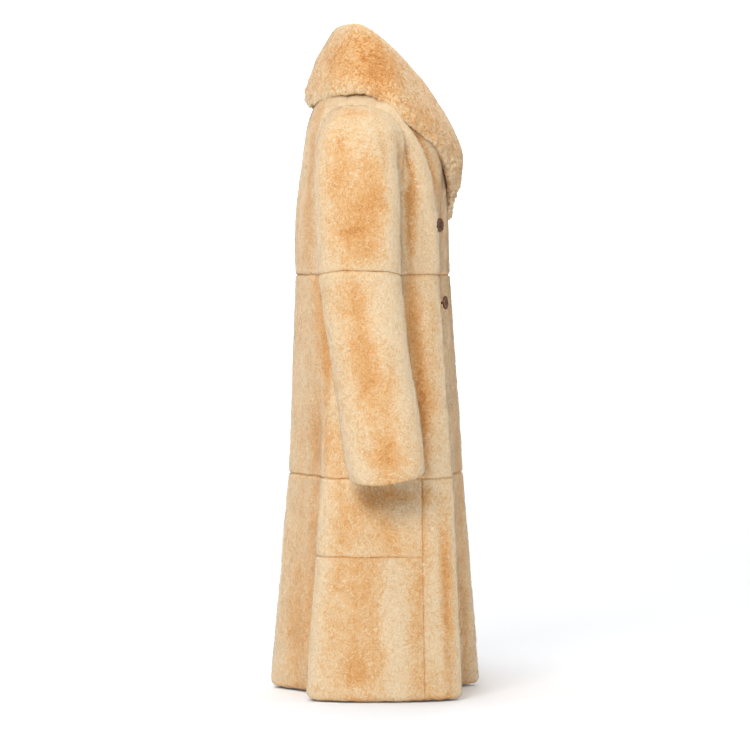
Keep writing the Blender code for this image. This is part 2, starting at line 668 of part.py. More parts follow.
def collar_section(row, side):
    """One closed section of the collar: up the stand, over the roll, down the fall and back."""
    place, rx, ry, rz, ex, ey, ez, swell, thick = row
    if place > 0:
        s, z = side * place, NECK_Z
    else:
        z = place * MM
        s = float(neck_place(np.array([z]), side)[0])
    skin = body(np.array([s]), np.array([z]))[0]
    normal = body_normal(np.array([s]), np.array([z]))[0]
    if place > 0:
        away = np.array([0.0, 0.0, 1.0])
        normal = unit(normal * np.array([1.0, 1.0, 0.0]))
    else:
        lower = z - 0.004
        below = float(neck_place(np.array([lower]), side)[0])
        tangent = skin - body(np.array([below]), np.array([lower]))[0]
        away = unit(np.cross(normal, tangent)) * side
        if away[2] < 0:
            away = -away
    inside = skin - normal * (WALL - 0.0005) + away * SEAM_GAP * 2
    outside = skin - normal * 0.0012 + away * SEAM_GAP * 2
    roll = np.array([side * rx, ry, rz]) * MM
    edge = np.array([side * ex, ey, ez]) * MM
    half = thick * MM / 2
    seam = (inside + outside) / 2
    down = unit(edge - roll)
    stand = unit(seam - roll)
    face = -(stand - down * float(stand @ down))
    face = unit(face)
    tip = edge - down * half
    back_of_stand = -unit(down - stand * float(down @ stand))
    opening = math.acos(max(-1.0, min(1.0, float(stand @ down))))
    reach = min(0.62 * thick * MM / math.sin(opening / 2), 0.84 * float(np.linalg.norm(seam - roll)))
    crotch = roll + unit(stand + down) * reach
    middle = (roll + tip + face * half) / 2 + face * swell * MM
    keys = [
        inside,
        (inside + roll) / 2 + back_of_stand * 0.003,
        roll,
        middle,
        tip + face * half,
        edge,
        tip - face * half,
        (tip - face * half + crotch) / 2 + face * swell * MM * 0.5,
        crotch,
        outside,
    ]
    return np.array(keys), normal


def rounded_loop(keys):
    """Points along a section: smooth over the roll, the fall and the edge."""
    outer_places = np.array([0, 0.5, 1, 1.5, 2, 2.5, 3, 3.5, 4, 4.6, 5.2])
    outer = curve([0, 1, 2, 3, 4, 4.6, 5.2], keys[:7], outer_places)
    under = curve([0, 1, 2], keys[6:9], np.array([0.5, 1.0, 1.5, 2.0]))
    return np.concatenate([outer, under, keys[9:10]])


def body_samples():
    s, z = np.meshgrid(np.arange(-180.0, 180.0, 2.5), np.arange(-0.262, 0.0005, 0.004))
    return body(s, z).reshape(-1, 3), body_normal(s, z).reshape(-1, 3)


def clear_of(points, samples, gap):
    """Points moved out where they come nearer to the coat's body than the gap."""
    where, facing = samples
    found = points.copy()
    for _ in range(3):
        distance = np.linalg.norm(found[:, None] - where[None], axis=2)
        nearest = distance.argmin(axis=1)
        depth = ((found - where[nearest]) * facing[nearest]).sum(axis=1)
        found += facing[nearest] * np.clip(gap - depth, 0, None)[:, None]
    return found


def collar():
    samples = body_samples()
    left = [(row, 1) for row in collar_rows(COLLAR[:COLLAR_SHARED] + COLLAR_LEFT_END)[:0:-1]]
    right = [(row, -1) for row in collar_rows(COLLAR)]
    smooth = np.array([rounded_loop(collar_section(row, side)[0]) for row, side in left + right])
    for index in range(len(smooth)):
        loop = smooth[index]
        loop[5:14] = clear_of(loop[5:14], samples, 0.0055)
        loop[14:15] = clear_of(loop[14:15], samples, 0.0035)
    columns = smooth.shape[1]
    points = smooth.reshape(-1, 3)
    faces = []
    for row in range(len(smooth) - 1):
        for column in range(columns):
            after = (column + 1) % columns
            faces.append(
                [
                    row * columns + column,
                    row * columns + after,
                    (row + 1) * columns + after,
                    (row + 1) * columns + column,
                ]
            )
    caps = []
    for row in (0, len(smooth) - 1):
        loop = smooth[row]
        step = smooth[1] - smooth[0] if row == 0 else smooth[-2] - smooth[-1]
        middle = loop.mean(axis=0) - unit(step.mean(axis=0)) * 0.003
        caps.append(middle)
        tip = len(points) + len(caps) - 1
        for column in range(columns):
            after = (column + 1) % columns
            faces.append([row * columns + after, row * columns + column, tip])
    points = np.concatenate([points, np.array(caps)])
    add_object("collar", points, faces, (0.84, 0.62, 0.37))


collar()


# ---------------------------------------------------------------- buttons
def button(name, x, z, foot, lean):
    """A turned disc with a raised rim and a short stem of thread behind it."""
    s = float(place_of(0, x, z, -75.0, 75.0))
    skin = body(np.array([s]), np.array([z]))[0]
    normal = body_normal(np.array([s]), np.array([z]))[0]
    side = unit(np.cross(np.array([0.0, 0.0, 1.0]), normal))
    up = np.cross(normal, side)
    lean = math.radians(lean) * np.sign(x)
    upright, level = normal, side
    normal = upright * math.cos(lean) + level * math.sin(lean)
    side = level * math.cos(lean) - upright * math.sin(lean)
    foot += STEM_RADIUS * math.sin(abs(lean))
    r, h = BUTTON_RADIUS, BUTTON_HEIGHT
    near_s, near_z = np.meshgrid(s + np.linspace(-9, 9, 13), z + np.linspace(-r, r, 9))
    near = body(near_s, near_z) - skin
    height = (near @ normal)[np.linalg.norm(near, axis=-1) < r + 0.001]
    t = BUTTON_STEM + max(0.0, float(height.max()))
    base = skin + normal * foot
    profile = (
        (STEM_RADIUS, 0.0),
        (STEM_RADIUS, t),
        (r - 0.0018, t),
        (r, t + h * 0.45),
        (r - 0.0006, t + h * 0.9),
        (r - 0.0016, t + h),
        (r - 0.0034, t + h * 0.88),
        (r - 0.0046, t + h * 0.66),
    )
    turns = 20
    points = []
    for radius, height in profile:
        for turn in range(turns):
            angle = 2 * math.pi * turn / turns
            spread = side * math.cos(angle) + up * math.sin(angle)
            points.append(base + normal * height + spread * radius)
    faces = []
    for ring in range(len(profile) - 1):
        for turn in range(turns):
            after = (turn + 1) % turns
            faces.append(
                [
                    ring * turns + turn,
                    ring * turns + after,
                    (ring + 1) * turns + after,
                    (ring + 1) * turns + turn,
                ]
            )
    faces.append(list(range(turns)))
    faces.append([(len(profile) - 1) * turns + turn for turn in range(turns)])
    add_object(name, points, faces, (0.16, 0.07, 0.035), 0.35)


for name, *place in BUTTONS:
    button("button_" + name, *place)
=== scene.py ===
"""The finish of a long coat of sheared fur, filled out as worn and held at the shoulders.

Frame: X to the wearer's left, -Y to the front, Z up. The origin is the middle of the neck base.
All lengths are metres unless a table says mm. Each panel is a closed shell with a thin skin side,
and its pile stands on it as a separate piece.
"""

import math
from functools import partial

import bpy
import numpy as np
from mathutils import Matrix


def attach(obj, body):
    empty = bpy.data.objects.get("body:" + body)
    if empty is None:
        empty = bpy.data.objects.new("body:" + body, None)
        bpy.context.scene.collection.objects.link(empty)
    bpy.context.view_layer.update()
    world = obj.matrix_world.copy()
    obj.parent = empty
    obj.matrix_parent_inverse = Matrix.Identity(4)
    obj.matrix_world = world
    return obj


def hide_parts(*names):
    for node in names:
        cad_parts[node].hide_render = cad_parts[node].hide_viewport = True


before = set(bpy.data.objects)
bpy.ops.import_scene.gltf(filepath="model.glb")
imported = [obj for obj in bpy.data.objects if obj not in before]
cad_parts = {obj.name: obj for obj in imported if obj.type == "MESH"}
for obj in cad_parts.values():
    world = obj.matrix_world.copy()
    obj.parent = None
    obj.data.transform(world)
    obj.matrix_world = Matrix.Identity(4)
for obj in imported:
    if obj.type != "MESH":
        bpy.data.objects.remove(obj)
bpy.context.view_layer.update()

# ---------------------------------------------------------------- sizes of the coat
# A name in Z is a level, and one in S a place round the body, in degrees from the front and
# positive toward the wearer's left.
MM = 0.001
HEM_Z = -1.031
SEAM_B_Z = -0.670
SEAM_C_Z = -0.798
SEAM_A_Z = -0.334
UNDERARM_Z = -0.209
NECK_Z = 0.0
WALL = 0.012
SEAM_GAP = 0.0003
LAP_GAP = 0.0022
EDGE_ROLL = 0.0025  # how far the cloth turns in at the armhole
FRONT_EDGE_S = 33.0
UNDER_EDGE_S = -22.0
BREAK_Z = -0.238  # where the neckline meets the free edge
SHOULDER_SEAM_S = 103.0
SIDE_SEAM_S = 90.0
SIDE_PANEL_FRONT_S = 64.0
SIDE_PANEL_BACK_S = 138.0
LAP_PAST = 0.012  # the left front stays at full depth this far beyond the right one's edge
LAP_FADE = 0.045
FRONT_TOP_Z = -0.003  # the fronts end just under the collar's seam
FOLDS_FROM_Z = -0.055  # under this level the body takes on the fold lines
SIDES = ((-1, "right"), (1, "left"))
BUTTON_RADIUS = 0.0118
BUTTON_HEIGHT = 0.0042
# A button leans on its thread, away from the middle. Columns: name, x, level, height of the
# stem's foot over the fur, lean in degrees.
BUTTONS = (
    ("right_top", -0.149, -0.251, -0.0002, 11.0),
    ("right_bottom", -0.126, -0.381, 0.0010, 17.0),
    ("left_top", 0.102, -0.251, 0.0010, 11.0),
    ("left_bottom", 0.104, -0.381, 0.0010, 17.0),
)
BUTTON_STEM = 0.0014  # the least height of the disc over the fur under it
STEM_RADIUS = 0.0026
THREAD_RADIUS = 0.00045
STITCH_LIFT = 0.0011
HOLE_RADIUS = 0.0011
HOLE_AWAY = 0.0024  # of each hole from the button's middle, sideways and up
# Radius, and height as a share of the button's, from the middle of the back to that of the face.
DISC = (
    (0.0040, 0.0),
    (0.0096, 0.02),
    (0.0110, 0.20),
    (0.0117, 0.42),
    (BUTTON_RADIUS, 0.58),
    (0.0114, 0.84),
    (0.0106, 0.97),
    (0.0098, 1.0),
    (0.0088, 0.95),
    (0.0080, 0.80),
    (0.0068, 0.68),
    (0.0050, 0.63),
    (0.0030, 0.62),
)
# Radius, share of the height under the disc, and how far lower than that.
STEM = ((STEM_RADIUS, 0, 0), (0.0022, 0.35, 0), (0.0021, 0.7, 0), (0.0025, 1, 0.0001))

# Rings above the waist: level, half width, front and back depth from Y = 0, squareness of the
# front and of the back half. Millimetres.
RINGS = (
    (-334, 205, 157.5, 100, 2.3, 2.3),
    (-292, 203, 156, 101, 2.4, 2.5),
    (-240, 205, 155, 100, 2.5, 2.8),
    (-191, 206, 154, 95.6, 2.6, 3.1),
    (-150, 208.5, 151, 90, 2.6, 3.2),
    (-110, 209, 146, 85, 2.6, 3.2),
    (-80, 206, 139, 79, 2.6, 3.1),
    (-62, 199, 130, 73, 2.5, 2.9),
    (-50, 184, 122, 68.5, 2.4, 2.6),
    (-36, 153, 109, 64, 2.3, 2.4),
    (-18, 112, 87, 58.5, 2.2, 2.2),
    (0, 75, 63, 52, 2.1, 2.1),
)

# Fold lines of the body: name, side, place round the body in degrees from the front, then x and y
# on the waist seam, on the lower seam and at the hem. Each x is measured out from the middle. mm.
FOLDS = (
    ("back_centre", -1, 180, 0, 100, 0, 111.5, 0, 143),
    ("back_flute", -1, 170, 36, 99, 35, 107, 35, 129),
    ("back_slope", -1, 156, 92, 89, 98, 83, 98, 90),
    ("back_valley", -1, 139, 150, 68, 170, 58, 172, 62),
    ("back_ridge", -1, 126, 182, 46, 218, 52, 256, 79),
    ("side_back", -1, 110, 200, 12, 242, 12, 296, 30),
    ("side", -1, 90, 205, -35, 247, -38, 303, -32),
    ("side_front", -1, 64, 189, -98, 238, -112, 290, -117),
    ("ridge_back", -1, 56, 176, -120, 224, -139, 274, -152),
    ("front_ridge", -1, 46, 154, -138, 196, -162, 240, -178),
    ("ridge_front", -1, 36, 120, -141, 152, -157, 180, -161),
    ("front_valley", -1, 26, 84, -142, 105, -152, 120, -150),
    ("front_hollow", -1, 12, 38, -154, 50, -168, 50, -168),
    ("front_centre", 1, 0, 0, -158.5, 0, -176.5, 0, -188),
    ("front_crest", 1, 10, 34, -160.5, 36, -183.5, 42, -212),
    ("crest_side", 1, 20, 68, -151.5, 78, -168, 88, -180),
    ("lap_edge", 1, 33, 126, -138.5, 128, -149, 128, -151),
    ("front_valley", 1, 38, 138, -137.5, 147, -148, 153, -147),
    ("front_ridge", 1, 47, 157, -136, 196, -158, 238, -172),
    ("ridge_back", 1, 56, 177, -118, 224, -136, 273, -147),
    ("side_front", 1, 64, 189, -98, 238, -112, 290, -117),
    ("side", 1, 90, 205, -35, 247, -38, 303, -32),
    ("side_back", 1, 110, 200, 12, 243, 14, 297, 26),
    ("back_ridge", 1, 127, 181, 46, 217, 54, 258, 73),
    ("back_valley", 1, 141, 146, 70, 164, 60, 176, 58),
    ("back_slope", 1, 157, 88, 90, 94, 85, 98, 94),
    ("back_flute", 1, 170, 36, 98.5, 35, 106, 36, 129),
)

# Neckline of the two fronts: level, x of the right front, x of the left front. mm.
NECKLINE = (
    (-238, 122, -72),
    (-210, 92, -58),
    (-180, 62, -42),
    (-140, 22, -14),
    (-100, -14, 16),
    (-60, -43, 43),
    (-30, -62, 62),
    (-10, -71, 71),
    (0, -74, 74),
)

# Armhole: level, y of its front edge, y of its back edge. mm.
ARMHOLE = (
    (-56.5, -20, 34),
    (-64, -38, 46),
    (-77, -52, 53),
    (-95, -63, 58),
    (-116, -72, 61),
    (-138, -80, 63),
    (-160, -86, 63.5),
    (-179, -88, 61),
    (-194, -82, 53),
    (-203.5, -67, 36),
    (-207.5, -50, 6),
)
ARMHOLE_TOP_Z = -0.0535

# Sleeve rings under the armhole: x and z at the body side, x and z at the outer side, y of the
# front and of the back. x is measured out from the middle. mm.
SLEEVE_HEAD = (
    (208.6, -208.9, 221, -57, -84, 62),
    (209.8, -210.5, 249, -71, -77, 62.5),
    (210.2, -214, 274, -98, -71.5, 63),
    (210.4, -220, 291, -134, -70.5, 63.5),
    (210.4, -231, 302, -178, -73.5, 63.5),
    (210.2, -250, 309, -225, -76, 62.5),
    (209.8, -290, 313.5, -272, -77.5, 61),
    (209.5, -346, 315.5, -327, -77, 59),
)
SLEEVE_ARM = (
    (209.5, -346, 315.5, -327, -77, 59),
    (215, -400, 320.5, -388, -82.5, 51),
    (224.5, -465, 330, -455, -88.5, 40),
    (235, -545, 340.5, -537, -102.5, 28),
    (246, -626, 351.5, -620, -113, 16),
    (251, -671, 356.5, -668, -115.7, 7),
)
SLEEVE_SQUARENESS = 2.35
EVEN_AFTER_ROWS = 6  # rows of the head until the columns stand evenly round the sleeve
SLEEVE_COLUMNS = 76
CUFF_REACH = 0.06
CUFF_DROP = (-0.007, 0.006)  # the cuff's lower edge dips behind its middle and rises to the front

# Collar sections: name, where it is sewn (degrees on the neck ring, or mm down the neckline),
# the roll (x, y, z), the outer edge (x, y, z), the swell of the fall, the thickness. mm.
# x is measured out from the middle. The right half has every row.
COLLAR = (
    ("nape", 180, 0, 30, 85, 0, 79, -38, 9, 16),
    ("nape_side", 150, 38, 24, 87, 56, 72, -48, 9, 17),
    ("back_side", 125, 64, 8, 89, 111, 50, -39, 10, 19),
    ("side", 104, 79, -12, 86, 149, 16, -32, 10, 21),
    ("side_front", 84, 85, -38, 71, 160, -22, -32, 10, 22),
    ("front_top", -14, 81, -70, 43, 184, -56, -54, 10, 23),
    ("front_1", -36, 69, -101, 10, 187, -90, -86, 9, 23),
    ("front_2", -66, 52, -131, -28, 156, -127, -110, 8, 23),
    ("front_3", -98, 30, -156, -68, 116, -146, -134, 8, 24),
    ("front_4", -132, -2, -176, -114, 76, -158, -162, 9, 24),
    ("front_5", -165, -33, -175, -151, 26, -163, -190, 7, 21),
    ("front_6", -197, -67, -164, -187, -32, -161, -215, 3, 16),
    ("tip", -224, -102, -156, -216, -90, -157, -241, 2, 10),
)
COLLAR_SHARED = 8  # rows that the left half mirrors
COLLAR_LEFT_END = (("left_end", -101, 24, -148, -82, 72, -158, -166, 7, 20),)

# ---------------------------------------------------------------- sizes of the finish
GRID_STEP = 0.0052  # spacing of a shell's rows and columns away from its edges
NEAR_EDGE = (0.0, 0.0008, 0.002, 0.0038, 0.0065)  # rows beside a seam, where the pile dives in
NEAR_RIM = (0.0, 0.0012, 0.0032, 0.006, 0.0095, 0.014)  # rows over a rounded fur edge
UNDERARM_ROWS = (-0.0002, 0.0001, 0.0005, 0.0009, 0.0013, 0.002, 0.0035, 0.0055, 0.008, 0.011, 0.014, 0.018)
ARMHOLE_TOP_ROWS = (0.0001, 0.0004, 0.0009, 0.0016, 0.0026, 0.004, 0.006)
COLLAR_CLEAR = -0.0005  # the pile of the collar's fall meets the pile it lies on
CROTCH_CLEAR = 0.0035  # how far the crotch of the roll stays off the fur
COLLAR_STEP = 0.0036
COLLAR_COLUMNS = 108
LOCKS_AT = 8.4  # place round a section where the locks are strongest, by the outer edge
FALL_STARTS, FALL_ENDS = 2.5, 10.5  # places round a section
LOCK_DEPTH = 0.0058
LOCK_SIZE = (0.0135, 0.0190, 1.0)  # along the collar and round its section
LOCK_WAVE = 0.004
CAP_ANGLES = (25.0, 50.0, 72.0)  # loops of the collar's rounded ends
CAP_DEPTH = 0.005
COARSE = 4  # the skin side has one point for this many of the fur side
FINER_COLUMNS = 200  # columns on which a panel's own width is measured
HALVINGS = 40  # of the search for a place round the body
SEAM_DIVE = 0.0038  # how deep the pile sinks at a seam
SEAM_REACH = 0.0018
SOFT_SEAM = 0.2  # the armhole seams are worked softer than the others
ARMHOLE_HOLD = 0.014  # creases fade out this near to an armhole seam
SEAM_SWELL = 0.0006  # the pile stands a little proud beside a seam
SWELL_FROM_SEAM = 0.007
SWELL_REACH = 0.004
RIM_RADIUS = 0.0105  # rounding of the fur at hem, cuffs and front edges
RIM_DEPTH = 0.0088
SEAM_WANDER = 0.0009
WANDER_REACH = 0.010
BULGE_REACH = 0.013  # how far on each side of a point its bend is measured
CREASES_FROM_X = 0.085  # creases belong to the coat's sides and fade toward its middle
CREASES_FADE = 0.07
LEFT_CREASE_SHIFT = (4.0, -9.0)  # y and z in mm, to and fro
LEFT_CREASE_SHARE = 0.8
RELIEF_SHADING = 0.7  # how much of the creases and seams the pile's direction follows
DEEP_CREASE = 0.006
FULLY_SUNK = 0.004
# Painted shade: creases and the pile beside seams and rounded edges are painted deeper honey; rolls that
# stand out are painted paler.
CREASE_PAINTED_SHADE = 0.45
SEAM_PAINTED_SHADE = 0.25
# Painted light: sides that face along X are painted paler, ridges paler and hollows deeper as painted
# shade.
SIDE_PAINTED_LIGHT = 0.16
RIDGE_PAINTED_LIGHT = 0.26
SHARP_RIDGE = 22.0  # 1/m
PATCH_GAIN = 0.62
LEFT_PATCH_SHIFT = (0.006, -0.012)  # y and z
# The shell and each ribbon corner take a place between root and tip; nearer the root, more painted root
# shade.
SHELL_TIP = 0.30  # the shell shows this far up between the strands' root and tip
STRANDS_PER_M2 = 88000
PALE_CURLS = 0.2  # share of the strands that stand out as wider, paler curls
PALE_WIDER = 1.7
SUNK_SHORTER = 0.35
FOOT_DEPTH = 0.0005
RIBBON_TILT = 0.12  # radians
RIBBON_WAIST = 0.55  # share of the ribbon's width half way along
TIP_HEIGHT = 0.45  # share of the middle's height
RIBBON_TIPS = (0.05, 0.05, 0.65, 0.65, 1.0)  # from root to tip, for each corner of a ribbon

# How the pile lies: density as a share of the usual, length, width and lift in metres, swirl of
# the nap, stray and curl in radians, fineness of the curls.
BODY_PILE = {
    "density": 1.0,
    "length": 0.0095,
    "width": 0.00115,
    "lift": 0.0010,
    "swirl": 1.5,
    "stray": 0.5,
    "curl": 1.9,
    "fine": 1.0,
}
COLLAR_PILE = dict(BODY_PILE, density=1.25, length=0.0085, width=0.0014, lift=0.0009, fine=0.7)

# Creases pressed into the cloth, drawn on the side of the coat: panel, then y and z of its start,
# middle and end, depth and half width. A negative depth is a roll that stands out. Both sides have
# them, the left a little fainter. mm.
CREASES = (
    ("sleeve_upper", 18, -72, 2, -64, -14, -70, 2.6, 7),
    ("sleeve_upper", 30, -92, 24, -112, 20, -140, 2.0, 12),
    ("sleeve_upper", -34, -88, -50, -120, -56, -165, 2.4, 8),
    ("sleeve_upper", 46, -248, 12, -262, -20, -256, 1.6, 12),
    ("sleeve_upper", -8, -170, -12, -230, -6, -300, 1.8, 18),
    ("sleeve_lower", 0, -350, -14, -440, -26, -560, 2.2, 15),
    ("sleeve_lower", 48, -368, 22, -392, -14, -398, 1.6, 10),
    ("sleeve_lower", -66, -470, -58, -540, -62, -610, 1.6, 12),
    ("sleeve_upper", -68, -100, -84, -155, -84, -212, 4.0, 9),
    ("sleeve_upper", -60, -170, -58, -240, -56, -330, -3.0, 16),
    ("front_upper", -60, -75, -89, -165, -94, -330, 7.5, 10),
    ("front_upper", -52, -55, -109, -150, -138, -325, -6.0, 10),
    ("front_upper", -76, -58, -131, -150, -154, -262, 8.0, 8),
    ("front_upper", -92, -92, -148, -176, -162, -240, -4.5, 7),
    ("back_upper", 58, -50, 76, -150, 78, -320, 5.0, 12),
    ("back_middle", 56, -340, 46, -470, 66, -660, 6.5, 12),
    ("front_middle", -92, -345, -106, -470, -116, -660, 3.4, 10),
    ("side_lower_top", -20, -690, 0, -730, 12, -790, 1.6, 18),
    ("side_lower_bottom", -20, -815, -32, -900, -40, -1010, 2.8, 20),
    ("side_lower_bottom", 36, -825, 44, -910, 52, -1000, 2.0, 16),
    ("front_lower", -142, -700, -150, -850, -160, -1015, 2.2, 10),
    ("back_lower", 60, -685, 63, -810, 80, -1020, 3.6, 12),
)

# Patches of the pile on the sides, deeper honey where the strength is positive and paler where negative:
# panel, y and z of the middle, half sizes along y and z, strength. mm. Some are the pile's own tone; the
# rows in the valleys beside the sleeves and under the cuffs are painted shade, and the negative rows at the
# shoulders are painted light.
TONE_AND_PAINTED_LIGHT_PATCHES = (
    ("collar", 8, 34, 60, 50, 0.80),
    ("collar", -50, 2, 50, 44, 0.70),
    ("collar", -118, -80, 48, 60, 0.85),
    ("sleeve_upper", 22, -62, 40, 12, 0.8),
    ("sleeve_upper", 24, -150, 34, 70, 0.6),
    ("sleeve_upper", 18, -250, 44, 66, 0.80),
    ("sleeve_upper", -34, -210, 22, 80, 0.5),
    ("sleeve_upper", -50, -200, 16, 110, 0.3),
    ("front_middle", -128, -500, 16, 150, 0.3),
    ("sleeve_lower", 14, -365, 46, 30, 0.50),
    ("sleeve_lower", 0, -445, 40, 70, 0.60),
    ("sleeve_lower", -34, -560, 40, 80, 0.60),
    ("sleeve_lower", -70, -635, 44, 34, 0.60),
    # painted shade in the valleys in front of and behind the sleeves
    ("front_upper", -90, -200, 18, 110, 0.6),
    ("front_middle", -92, -420, 18, 120, 0.85),
    ("front_middle", -110, -590, 18, 80, 0.65),
    ("back_upper", 82, -190, 14, 120, 0.85),
    ("back_middle", 52, -450, 22, 120, 0.95),
    ("back_middle", 58, -610, 26, 70, 0.95),
    # painted shadow under the cuffs
    ("side_lower_top", -62, -697, 36, 12, 0.8),
    ("front_lower", -100, -700, 26, 12, 0.7),
    # painted light at the shoulders, where the collar shades them
    ("sleeve_upper", 0, -48, 40, 14, -0.6),
    ("front_upper", -20, -35, 40, 22, -0.7),
    ("back_upper", 20, -35, 40, 22, -0.7),
    ("side_lower_top", 4, -735, 34, 40, 0.50),
    ("side_lower_top", -62, -765, 20, 36, 0.50),
    ("side_lower_bottom", 4, -880, 20, 100, 0.85),
    ("side_lower_bottom", 2, -985, 22, 50, 0.60),
    ("side_lower_bottom", -104, -900, 14, 110, 0.70),
    ("side_lower_bottom", -66, -920, 15, 120, -0.35),
    ("front_lower", -100, -800, 14, 140, 0.55),
    ("front_lower", -154, -860, 14, 160, 0.80),
    ("back_lower", 76, -760, 24, 110, 0.75),
    ("back_lower", 88, -920, 30, 100, 0.75),
)

# Colours as linear light, each at its place on a scale from 0 to 1. The pile's run from palest to deepest,
# and its roots are darker than its tips as painted shade. The deeper honey also serves as painted shade in
# hollows, creases and seams.
FUR_TONES = (
    (0.06, (0.89, 0.740, 0.535)),
    (0.34, (0.86, 0.625, 0.375)),
    (0.60, (0.81, 0.490, 0.230)),
    (0.86, (0.74, 0.395, 0.150)),
    (1.00, (0.62, 0.300, 0.105)),
)
# ROOT_SHADE_TONES is painted shade at the pile's roots and on the shell between the strands.
ROOT_SHADE_TONES = ((0.0, (0.80, 0.67, 0.50)), (0.40, (0.94, 0.90, 0.84)), (1.0, (1, 1, 1)))
# GROOVE_SHADE_TONE is painted shade in the grooves between the curls.
GROOVE_SHADE_TONE = (0.84, 0.67, 0.46, 1.0)
SKIN_TONES = ((0.30, (0.42, 0.29, 0.18)), (0.72, (0.56, 0.42, 0.28)))
HORN_TONES = ((0.36, (0.040, 0.014, 0.005)), (0.50, (0.120, 0.045, 0.017)), (0.64, (0.30, 0.135, 0.055)))
THREAD_TONES = ((0.35, (0.10, 0.05, 0.025)), (0.7, (0.22, 0.12, 0.06)))

# ---------------------------------------------------------------- sizes of the studio
CAMERA_AWAY = 8.0
CAMERA_Y = -0.034
HORIZON_Z = -0.326
METRES_PER_PIXEL = 0.0017  # in the coat's middle plane
FRAME_PIXELS = 750
HORIZON_PIXEL = 270
SENSOR = 36.0
BACKDROP_REACH = 14.0
BACKDROP_X = 2.2
COVE = 2.0
FLOOR_GAP = 0.004
FLOOR_COLOUR = (0.85, 0.875, 0.915, 1)
BACKDROP_GLOW = (0.05, 0.5)  # on the floor, and from one metre up
SKY_COLOUR = (1.0, 0.93, 0.84, 1)
SKY_STRENGTH = 0.25
LIT_MIDDLE = (0.0, 0.0, -0.45)  # what the lights are turned to
# Lights: name, place, width, power, colour.
LIGHTS = (
    ("key", (-4.4, 1.0, 2.0), 1.8, 151, (1.0, 0.985, 0.96)),
    ("top", (-0.6, 0.6, 3.4), 1.6, 50, (1.0, 0.99, 0.97)),
    ("rim", (3.2, 0.0, 2.4), 2.0, 45, (1, 1, 1)),
    ("front", (-0.9, -4.0, 1.0), 2.0, 31, (1, 1, 1)),
    ("back", (-0.8, 4.0, 1.2), 2.0, 12, (1, 1, 1)),
)


# ---------------------------------------------------------------- curves through tables
def smooth_share(value):
    """From 0 to 1 with soft ends, as the value goes from 0 to 1."""
    value = np.clip(value, 0, 1)
    return value * value * (3 - 2 * value)


def slopes_of(places, values, monotone):
    """Slope at each row of a table, for a smooth curve through its rows."""
    steps = np.diff(places)[:, None]
    rises = np.diff(values, axis=0) / steps
    before, after = steps[:-1], steps[1:]
    inner = (after * rises[:-1] + before * rises[1:]) / (before + after)
    if monotone:
        product, total = rises[:-1] * rises[1:], rises[:-1] + rises[1:]
        safe = np.where(np.abs(total) < 1e-12, 1.0, total)
        inner = np.where(product > 0, 2 * product / safe, 0.0)
    return np.concatenate([rises[:1], inner, rises[-1:]])


def curve(places, values, at, monotone=False):
    """The curve through a table's rows, at any places between its first and last row."""
    places = np.asarray(places, float)
    values = np.asarray(values, float).reshape(len(places), -1)
    slopes = slopes_of(places, values, monotone)
    at = np.clip(np.asarray(at, float), places[0], places[-1])
    row = np.clip(np.searchsorted(places, at, side="right") - 1, 0, len(places) - 2)
    step = (places[row + 1] - places[row])[..., None]
    t = (at[..., None] - places[row][..., None]) / step
    return (
        (2 * t**3 - 3 * t**2 + 1) * values[row]
        + (t**3 - 2 * t**2 + t) * (slopes[row] * step)
        + (3 * t**2 - 2 * t**3) * values[row + 1]
        + (t**3 - t**2) * (slopes[row + 1] * step)
    )


def fold_table():
    """Signed degrees, and x and y at the three seams, with three turns of it so that it wraps."""
    rows = [
        (side * degrees, side * ax, ay, side * bx, by, side * hx, hy)
        for _, side, degrees, ax, ay, bx, by, hx, hy in FOLDS
    ]
    rows = np.array(sorted(rows), float)
    places = np.concatenate([rows[:, 0] + turn for turn in (-360, 0, 360)])
    return places, np.tile(rows[:, 1:] * MM, (3, 1))


FOLD_PLACES, FOLD_PLANS = fold_table()
RING_LEVELS = np.array(RINGS)[:, 0] * MM
RING_SIZES = np.array(RINGS)[:, 1:] * np.array([MM, MM, MM, 1.0, 1.0])


def ring_point(s, sizes):
    """x and y on a rounded ring, for places s in degrees from the front."""
    width, front, back, front_power, back_power = np.moveaxis(sizes, -1, 0)
    middle = (back - front) / 2
    depth = (back + front) / 2
    sine = np.sin(np.radians(s))
    cosine = np.cos(np.radians(s))
    power = np.where(cosine > 0, front_power, back_power)
    radius = (np.abs(sine / width) ** power + np.abs(cosine / depth) ** power) ** (-1 / power)
    return np.stack([radius * sine, middle - radius * cosine], axis=-1)


def body(s, z):
    """The coat's outer surface: places s in degrees from the front toward the wearer's left."""
    s, z = np.broadcast_arrays(np.asarray(s, float), np.asarray(z, float))
    turned = (s + 180.0) % 360.0 - 180.0
    plans = curve(FOLD_PLACES, FOLD_PLANS, turned)
    waist, lower, hem = plans[..., 0:2], plans[..., 2:4], plans[..., 4:6]
    plain_waist = ring_point(turned, np.broadcast_to(RING_SIZES[0], turned.shape + (5,)))
    sizes = curve(RING_LEVELS, RING_SIZES, z, monotone=True)
    grown = smooth_share((FOLDS_FROM_Z - z) / (FOLDS_FROM_Z - SEAM_A_Z))[..., None]
    upper = ring_point(turned, sizes) + grown * (waist - plain_waist)
    middle_share = np.clip((SEAM_A_Z - z) / (SEAM_A_Z - SEAM_B_Z), 0, 1)[..., None]
    lower_share = np.clip((SEAM_B_Z - z) / (SEAM_B_Z - HEM_Z), 0, 1)[..., None]
    skirt = waist + (lower - waist) * middle_share + (hem - lower) * lower_share
    plan = np.where((z > SEAM_A_Z)[..., None], upper, skirt)
    return np.concatenate([plan, z[..., None]], axis=-1)


def normalised(vectors):
    return vectors / np.maximum(np.linalg.norm(vectors, axis=-1, keepdims=True), 1e-12)


